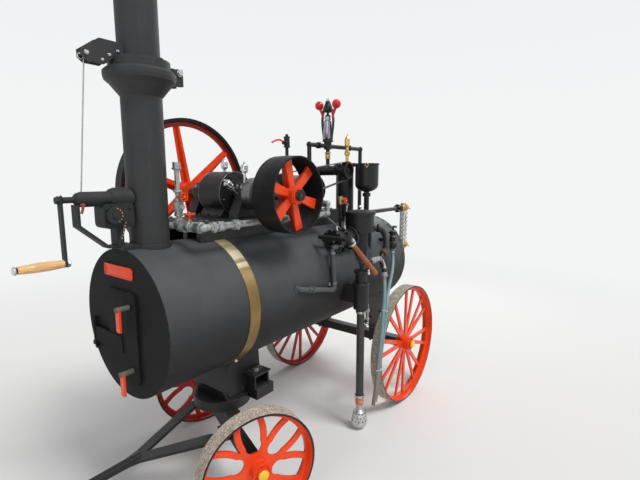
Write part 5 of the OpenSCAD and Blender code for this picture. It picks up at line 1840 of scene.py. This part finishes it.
    def _suction(self) -> None:
        """Bright clamps, the copper ring over the strainer, and black domes as painted shade in the
        strainer's holes.
        """
        hx, hy = self.hand
        wide = self.suction_r
        mesh = bmesh.new()
        for z in (0.7515, 0.2085):
            sleeve(mesh, stand((hx, hy, z)), wide - 0.001, wide + 0.0016, 0.014, 40)
            hexagon(mesh, aimed((hx + 0.010, hy + wide + 0.004, z + 0.007), FORE), 0.009, 0.014)
        self.finish(mesh, "suction_clamps", STEEL)
        mesh = bmesh.new()
        sleeve(mesh, stand((hx, hy, 0.158)), 0.0198, 0.0245, 0.042, 36)
        bead(mesh, stand((hx, hy, 0.180)), 0.0245, 0.003, 36)
        self.finish(mesh, "suction_ring", COPPER)
        mesh = bmesh.new()
        # Black domes stand for the strainer's holes: their darkness is painted shade.
        for row, (radius, z) in enumerate(((0.0462, 0.058), (0.0425, 0.082), (0.0372, 0.104))):
            for k in range(12):
                turn = 2 * math.pi * (k + 0.5 * (row % 2)) / 12
                x, y = math.cos(turn), math.sin(turn)
                place = (hx + radius * x, hy + radius * y, z)
                rivet(mesh, aimed(place, (x, y, 0.28)), 0.0042)
        self.finish(mesh, "strainer_hole_shade", SOOT_AND_HOLE_SHADE)


@dataclass
class GaugeDetails(SubAssembly):
    """Bolts, glass and brass cocks of the reflex water gauge, and the check valve's handle."""

    place: tuple[float, float] = (-1.233, 0.285)
    low: float = 1.090
    high: float = 1.310
    top_z: float = 1.336
    foot_z: float = 1.050
    check: Point = (-0.903, 0.372, 1.100)

    def build(self) -> None:
        """Make the pieces."""
        self._frame()
        self._cocks()
        self._check()

    def _frame(self) -> None:
        """Pale frame with columns of bolts in front and at the sides, and the ribbed glass."""
        gx, gy = self.place
        low, high = self.low, self.high
        mesh = bmesh.new()
        edges = []
        for side in (-0.0195, 0.0195):
            edges += block(mesh, (gx + side - 0.0085, gy - 0.010, low - 0.022),
                           (gx + side + 0.0085, gy + 0.0195, high + 0.004))
        soften(mesh, edges, 0.0018)
        self.finish(mesh, "gauge_frame", GAUGE_BODY)
        mesh = bmesh.new()
        for k in range(7):
            z = low + 0.014 + k * (high - low - 0.028) / 6
            for side in (-0.0195, 0.0195):
                hexagon(mesh, aimed((gx + side, gy + 0.0192, z), LEFT), 0.011, 0.009)
            for way in (-1, 1):
                hexagon(mesh, aimed((gx + way * 0.0278, gy + 0.002, z), (way, 0, 0)), 0.011, 0.008)
        self.finish(mesh, "gauge_bolts", GAUGE_BODY)
        mesh = bmesh.new()
        edges = block(mesh, (gx - 0.0065, gy + 0.0142, low + 0.025), (gx + 0.0065, gy + 0.0168, high - 0.025))
        for k in (-0.0045, -0.0015, 0.0015, 0.0045):
            edges += block(mesh, (gx + k - 0.001, gy + 0.016, low + 0.028),
                           (gx + k + 0.001, gy + 0.0182, high - 0.028))
        soften(mesh, edges, 0.0004)
        self.finish(mesh, "gauge_glass", GLASS)

    def _cocks(self) -> None:
        """Brass cocks above and below the gauge with their handles, the drain tube and flange bolts."""
        gx, gy = self.place
        mesh = bmesh.new()
        body = [
            (0.0, -0.036), (0.017, -0.036), (0.026, -0.016), (0.026, 0.016), (0.017, 0.036), (0.0, 0.036),
        ]
        for z in (self.top_z, self.foot_z):
            lathe(mesh, body, aimed((gx, gy, z), FORE), 24)
            lathe(mesh, body, stand((gx, gy, z)), 24)
            hexagon(mesh, aimed((gx, gy + 0.020, z), LEFT), 0.028, 0.016)
            nut(mesh, aimed((gx + 0.032, gy, z), FORE), 0.0155, 0.020, 0.010)
            lathe(mesh, [(0.0, 0.0), (0.024, 0.0), (0.024, 0.012), (0.0, 0.012)],
                  aimed((gx - 0.038, gy, z), AFT), 6)
            bends = ((0, 0.034, 0), (-0.016, 0.037, -0.004), (-0.034, 0.038, -0.010))
            handle = [(gx + dx, gy + dy, z + dz) for dx, dy, dz in bends]
            tube(mesh, smooth_path(handle, 4), 0.0045, 10)
        bends = ((0, 0, 1.020), (0, 0, 0.998), (-0.006, 0.004, 0.978), (-0.010, 0.006, 0.955))
        tube(mesh, smooth_path([(gx + dx, gy + dy, z) for dx, dy, z in bends], 4), 0.0085, 12)
        hexagon(mesh, aimed((gx, gy, 1.016), DOWN), 0.026, 0.014)
        self.finish(mesh, "gauge_cocks", OLD_BRASS)
        mesh = bmesh.new()
        for dx, way in ((0.104, FORE), (0.090, AFT)):
            crown(mesh, aimed((gx + dx, gy, self.top_z), way), 0.022, 4, 0.010, 0.007)
        self.finish(mesh, "gauge_flange_bolts", STEEL)

    def _check(self) -> None:
        """Cross handle, bonnet and hexagons of the check valve."""
        x, y, z = self.check
        top = z + 0.126
        mesh = bmesh.new()
        tube(mesh, [(x, y - 0.024, top), (x, y + 0.024, top)], 0.0062, 12)
        knob = [(0, -0.008), (0.006, -0.006), (0.008, 0), (0.006, 0.006), (0, 0.008)]
        for dx, dy in ((-0.024, 0), (0.024, 0), (0, -0.024), (0, 0.024)):
            lathe(mesh, knob, stand((x + dx, y + dy, top)), 14)
        hexagon(mesh, stand((x, y, z + 0.0935)), 0.036, 0.012)
        sleeve(mesh, stand((x, y, z + 0.056)), 0.0215, 0.027, 0.010, 30)
        sleeve(mesh, stand((x, y, z - 0.036)), 0.0135, 0.021, 0.014, 6)
        self.finish(mesh, "check_valve_handle", DULL_STEEL)


@dataclass
class RunningGear(SubAssembly):
    """Yellow hub caps, bolts of saddle, turntable and axle, and the drawbar's pins."""

    rear_half: float = 0.5375
    front_half: float = 0.5545

    def build(self) -> None:
        """Make the pieces."""
        for side, name in ((1, "left"), (-1, "right")):
            for end, centre, half, boss in (
                ("rear", REAR_AXLE, self.rear_half, 0.030), ("front", FRONT_AXLE, self.front_half, 0.028),
            ):
                axis = Vector(wheel_axis(end == "front")) * side
                self._hub(f"{end}_wheel_{name}", centre + axis * half, axis, boss)
        self._saddle()
        self._drawbar()
        self._axle()

    def _hub(self, body: str, place: Vector, axis: Vector, boss: float) -> None:
        """Turned yellow cap on an orange collar.

        Args:
            body: Wheel that it turns with.
            place: Centre of the hub's end.
            axis: Direction out of the wheel.
            boss: Radius of the hub's boss.
        """
        at = aimed(place, axis)
        mesh = bmesh.new()
        cap = ((-0.004, 0.0), (-0.003, 0.006), (-0.008, 0.012), (-0.014, 0.0145))
        lathe(mesh, [*((boss + r, z) for r, z in cap), (0, 0.016)], at, 28)
        self.finish(mesh, body + "_cap", YELLOW, body)
        mesh = bmesh.new()
        bead(mesh, at @ lift(-0.0125), boss + 0.013, 0.0035, 40)
        crown(mesh, at @ lift(-0.0132), boss + 0.0068, 6, 0.009, 0.006)
        self.finish(mesh, body + "_collar", ORANGE, body)

    def _saddle(self) -> None:
        """Bolts and rivets of the saddle's boxes, and the turntable's bolts."""
        mesh = bmesh.new()
        for y in (-0.155, 0.155):
            hexagon(mesh, stand((0.221, y, SADDLE_TOP)), 0.024, 0.014)
        self.finish(mesh, "saddle_bolts", STEEL)
        mesh = bmesh.new()
        for y in (-0.1794, 0.1794):
            for x in (0.172, 0.268):
                rivet(mesh, stand((x, y, SADDLE_TOP)), 0.006)
        for side in (-1, 1):
            for x in (0.20, 0.30, 0.385):
                hexagon(mesh, aimed((x, side * 0.1252, 0.455), (0, side, 0)), 0.020, 0.011)
        self.finish(mesh, "saddle_rivets", OILY)
        mesh = bmesh.new()
        at = stand((FRONT_AXLE.x, 0, 0.3728)) @ Matrix.Rotation(math.pi, 4, "X")
        crown(mesh, at, 0.128, 10, 0.016, 0.010)
        self.finish(mesh, "turntable_bolts", OILY, "fore_carriage")

    def _drawbar(self) -> None:
        """Nuts on the drawbar's pins and the eye's worn ring."""
        turn = stand((FRONT_AXLE.x, 0, 0)) @ Matrix.Rotation(PARK, 4, "Z")
        mesh = bmesh.new()
        for y, way in ((0.226, LEFT), (-0.226, RIGHT)):
            hexagon(mesh, turn @ aimed((0.060, y, 0.290), way), 0.026, 0.010)
        self.finish(mesh, "drawbar_nuts", OILY, "drawbar")
        mesh = bmesh.new()
        sleeve(mesh, turn @ stand((1.020, 0, 0.0015)), 0.0222, 0.031, 0.0405, 40)
        self.finish(mesh, "eye_ring", DULL_STEEL, "drawbar")

    def _axle(self) -> None:
        """Nuts that hold the rear axle to its two brackets, and the brackets' bolts."""
        mesh = bmesh.new()
        x, z = REAR_AXLE.x, REAR_AXLE.z
        for y in (-0.235, 0.235):
            for dx in (-0.024, 0.024):
                for dy in (-0.022, 0.022):
                    hexagon(mesh, aimed((x + dx, y + dy, z - 0.030), DOWN), 0.016, 0.010)
        for y in (-0.2422, 0.2422):
            for dx, dz in ((-0.07, 0.16), (0.07, 0.16), (-0.03, 0.08), (0.03, 0.08)):
                hexagon(mesh, aimed((x + dx, y, z + dz), (0, y, 0)), 0.018, 0.009)
        self.finish(mesh, "axle_bolts", OILY)


@dataclass
class BoilerDetails(SubAssembly):
    """Rivets of the backhead, the firehole door's rivets and the brass band's bolt."""

    rear: float = FACE_X - BOILER_L

    def build(self) -> None:
        """Make the pieces."""
        mesh = bmesh.new()
        for k in range(36):
            turn = 2 * math.pi * k / 36
            place = (self.rear - 0.0002, 0.312 * math.cos(turn), BOILER_Z + 0.312 * math.sin(turn))
            rivet(mesh, aimed(place, AFT), 0.008)
        for k in range(40):
            place, out = self._shell(self.rear + 0.030, BOILER_R, 360 * k / 40)
            rivet(mesh, aimed(place, out), 0.0075)
        self.finish(mesh, "backhead_rivets", BLACK)
        mesh = bmesh.new()
        for y in (-0.045, 0.010, 0.070):
            for z in (0.876, 0.926):
                rivet(mesh, aimed((self.rear - 0.0172, y, z), AFT), 0.0065)
        crown(mesh, aimed((self.rear - 0.0142, 0, 0.901), AFT), 0.112, 10, 0.011, 0.005)
        self.finish(mesh, "fire_door_rivets", OILY, "fire_door")
        mesh = bmesh.new()
        hexagon(mesh, aimed(*self._shell(0.384, 0.3335, -57)), 0.013, 0.010)
        self.finish(mesh, "band_bolt", STEEL)

    @staticmethod
    def _shell(x: float, radius: float, degrees: float) -> tuple[Vector, Vector]:
        """Place on the barrel at a turn from its left side, and the way out of it."""
        turn = math.radians(degrees)
        out = Vector((0, math.cos(turn), math.sin(turn)))
        return Vector((x, 0, BOILER_Z)) + out * radius, out


class Studio:
    """Pale floor, soft lights and the camera at the photograph's angle."""

    CAMERA = Vector((1.7165, 1.7223, 1.57))
    FORWARD = Vector((-0.78769, -0.59778, -0.14901))
    LENS_MM = 23.65
    SENSOR_MM = 36.0
    VIEW_END = 200.0
    FLOOR_HALF = 60.0
    FADE = (1.6, 7.0)
    FLOOR: Colour = (0.78, 0.77, 0.75)
    BACK: Colour = (0.90, 0.905, 0.91)

    def build(self) -> None:
        """Set up floor, world, lights and camera."""
        self._floor()
        self._world()
        self._lights()
        self._camera()
        bpy.context.scene.view_settings.view_transform = "Standard"

    @staticmethod
    def _seen(w: Wiring) -> object:
        """1 for camera, glossy and transmission rays, which see the backdrop's own colour."""
        path = w.add("LightPath").outputs
        gloss = w.math("MAXIMUM", path["Is Glossy Ray"], path["Is Transmission Ray"])
        return w.math("MAXIMUM", path["Is Camera Ray"], gloss)

    @staticmethod
    def _place(name: str, data: object) -> bpy.types.Object:
        """Put new data into the scene as an object."""
        made = bpy.data.objects.new(name, data)
        bpy.context.scene.collection.objects.link(made)
        return made

    def _floor(self) -> None:
        """Wide floor that takes the object's shadow and goes over to the backdrop far out."""
        mesh = bmesh.new()
        bmesh.ops.create_grid(mesh, x_segments=1, y_segments=1, size=self.FLOOR_HALF)
        data = bpy.data.meshes.new("floor")
        mesh.to_mesh(data)
        mesh.free()
        material = bpy.data.materials.new("floor_plain")
        material.use_nodes = True
        w = Wiring(material.node_tree)
        shader = w.add("BsdfPrincipled", {"Base Color": self.FLOOR, "Roughness": 0.9})
        glow = w.add("Emission", {"Color": self.BACK, "Strength": 1.0})
        x, y, _ = w.parts(w.coords())
        far = w.times(w.band(w.span(x, y), *self.FADE), self._seen(w))
        mixed = w.add("MixShader", {0: far, 1: shader.outputs[0], 2: glow.outputs[0]})
        w.add("OutputMaterial", {"Surface": mixed.outputs[0]})
        data.materials.append(material)
        self._place("floor", data)

    def _world(self) -> None:
        """Even surroundings that light from above more than from the sides."""
        world = bpy.data.worlds.new("studio")
        world.use_nodes = True
        bpy.context.scene.world = world
        w = Wiring(world.node_tree)
        up = w.parts(w.coords("Generated"))[2]
        tone = w.mix(w.band(up, 0.0, 0.9), (0.45, 0.46, 0.48), (0.85, 0.88, 0.92))
        light = w.add("Background", {"Color": tone, "Strength": 0.50})
        shown = w.mix(w.band(up, 0.05, 0.9), self.BACK, (0.80, 0.82, 0.85))
        seen = w.add("Background", {"Color": shown, "Strength": 1.0})
        mixed = w.add("MixShader", {0: self._seen(w), 1: light.outputs[0], 2: seen.outputs[0]})
        w.add("OutputWorld", {"Surface": mixed.outputs[0]})

    def _lights(self) -> None:
        """High key light from the engine's left, with two weak soft fills."""
        for name, kind, place, power, spread in (
            ("key", "SUN", (-0.4, 3.0, 5.2), 2.1, 0.40),
            ("fill_front", "AREA", (5.0, 1.6, 3.0), 45.0, 3.0),
            ("fill_rear", "AREA", (-4.2, -0.8, 3.2), 45.0, 3.0),
        ):
            data = bpy.data.lights.new(name, kind)
            data.energy = power
            setattr(data, "angle" if kind == "SUN" else "size", spread)
            self._place(name, data).matrix_world = aimed(place, Vector(place) - Vector((0, 0, 0.9)))

    def _camera(self) -> None:
        """Camera at the photographed place, direction and angle of view."""
        data = bpy.data.cameras.new("camera")
        data.lens = self.LENS_MM
        data.sensor_width = self.SENSOR_MM
        data.clip_end = self.VIEW_END
        camera = self._place("camera", data)
        right = self.FORWARD.cross(Vector(UP)).normalized()
        up = right.cross(self.FORWARD)
        turn = Matrix((right, up, -self.FORWARD)).transposed().to_4x4()
        camera.matrix_world = stand(self.CAMERA) @ turn
        bpy.context.scene.camera = camera


class Frame:
    """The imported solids, and the finish that each one wears."""

    SOLID_LOOKS = {
        "crankshaft": DULL_STEEL, "motion_rods": DARK_STEEL, "front_saddle": SADDLE,
        "boiler_band": BAND, "safety_valve": BRASS, "exhaust_pipe": ZINC, "valve_handles": ORANGE,
        "door_catches": CATCHES, "governor_spindle": GOVERNOR, "oil_cups": CHROME,
        "wood_handles": LEVER_WOOD, "ribbed_hose": RUBBER, "suction_pipe": SUCTION,
        "suction_strainer": STEEL, "water_gauge": GAUGE_BODY, "governor_balls": RED,
        "governor_belt": LEATHER, "boiler_barrel": BOILER, "upper_chimney": CHIMNEY,
        "chimney_base": CHIMNEY, "smokebox_door": FACE_BLACK, "winch": MATTE,
        "delivery_hose": TEAL, "drain_hose": TEAL,
    }

    def __init__(self, palette: Palette) -> None:
        """Keep the palette."""
        self.palette = palette

    def _wheel_looks(self) -> dict[str, Finish]:
        """Finish of every wheel.

        Returns:
            Node name to finish.
        """
        rear = dict(
            centre=tuple(REAR_AXLE), axis=wheel_axis(False), radius=0.408,
            tread=(0.42, 0.38, 0.30), tread_dark=(0.26, 0.23, 0.18), tread_light=(0.66, 0.61, 0.50),
        )
        front = dict(
            centre=tuple(FRONT_AXLE), axis=wheel_axis(True), radius=0.272,
            tread=(0.50, 0.40, 0.32), tread_dark=(0.30, 0.235, 0.185), tread_light=(0.82, 0.75, 0.66),
        )
        left = dict(paint=(0.90, 0.078, 0.012), shade=(0.80, 0.054, 0.009))
        # The right wheels wear a darker copy of the same orange paint: painted shade on the far side.
        right = dict(paint=(0.55, 0.025, 0.014), shade=(0.4, 0.016, 0.01))
        crank = (CRANK_X, 0.0, CRANK_Z)
        looks: dict[str, Finish] = {
            f"{end}_wheel_{side}": WheelFinish(f"{end}_{side}", **shape, **paint)
            for end, shape in (("rear", rear), ("front", front))
            for side, paint in (("left", left), ("right", right))
        }
        looks["flywheel"] = RimmedFinish("flywheel", crank, 0.4065, inner_from=0.3825)
        looks["belt_pulley"] = RimmedFinish("pulley", crank, 0.1775)
        return looks

    def dress(self, nodes: dict[str, bpy.types.Object]) -> None:
        """Give every node its finish.

        Args:
            nodes: Node name to object.
        """
        table = self.SOLID_LOOKS | self._wheel_looks()
        for name, node in nodes.items():
            finish = table.get(name, OILY)
            for slot in node.material_slots:
                slot.link = "OBJECT"
                slot.material = self.palette.of(finish)
            LOG.info("node %s wears %s", name, finish.name)


def main() -> None:
    """Load the frame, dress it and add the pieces."""
    logging.basicConfig(level=logging.INFO, format="%(message)s")
    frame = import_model()
    palette = Palette(Effects())
    Studio().build()
    for group in (
        Hoses, SmokeboxDetails, ChimneyDetails, WinchDetails, EngineDetails, SteamPipes,
        GovernorDetails, FeedDetails, GaugeDetails, RunningGear, BoilerDetails,
    ):
        group(palette).build()
    Frame(palette).dress(frame["nodes"])


if __name__ == "__main__":
    main()
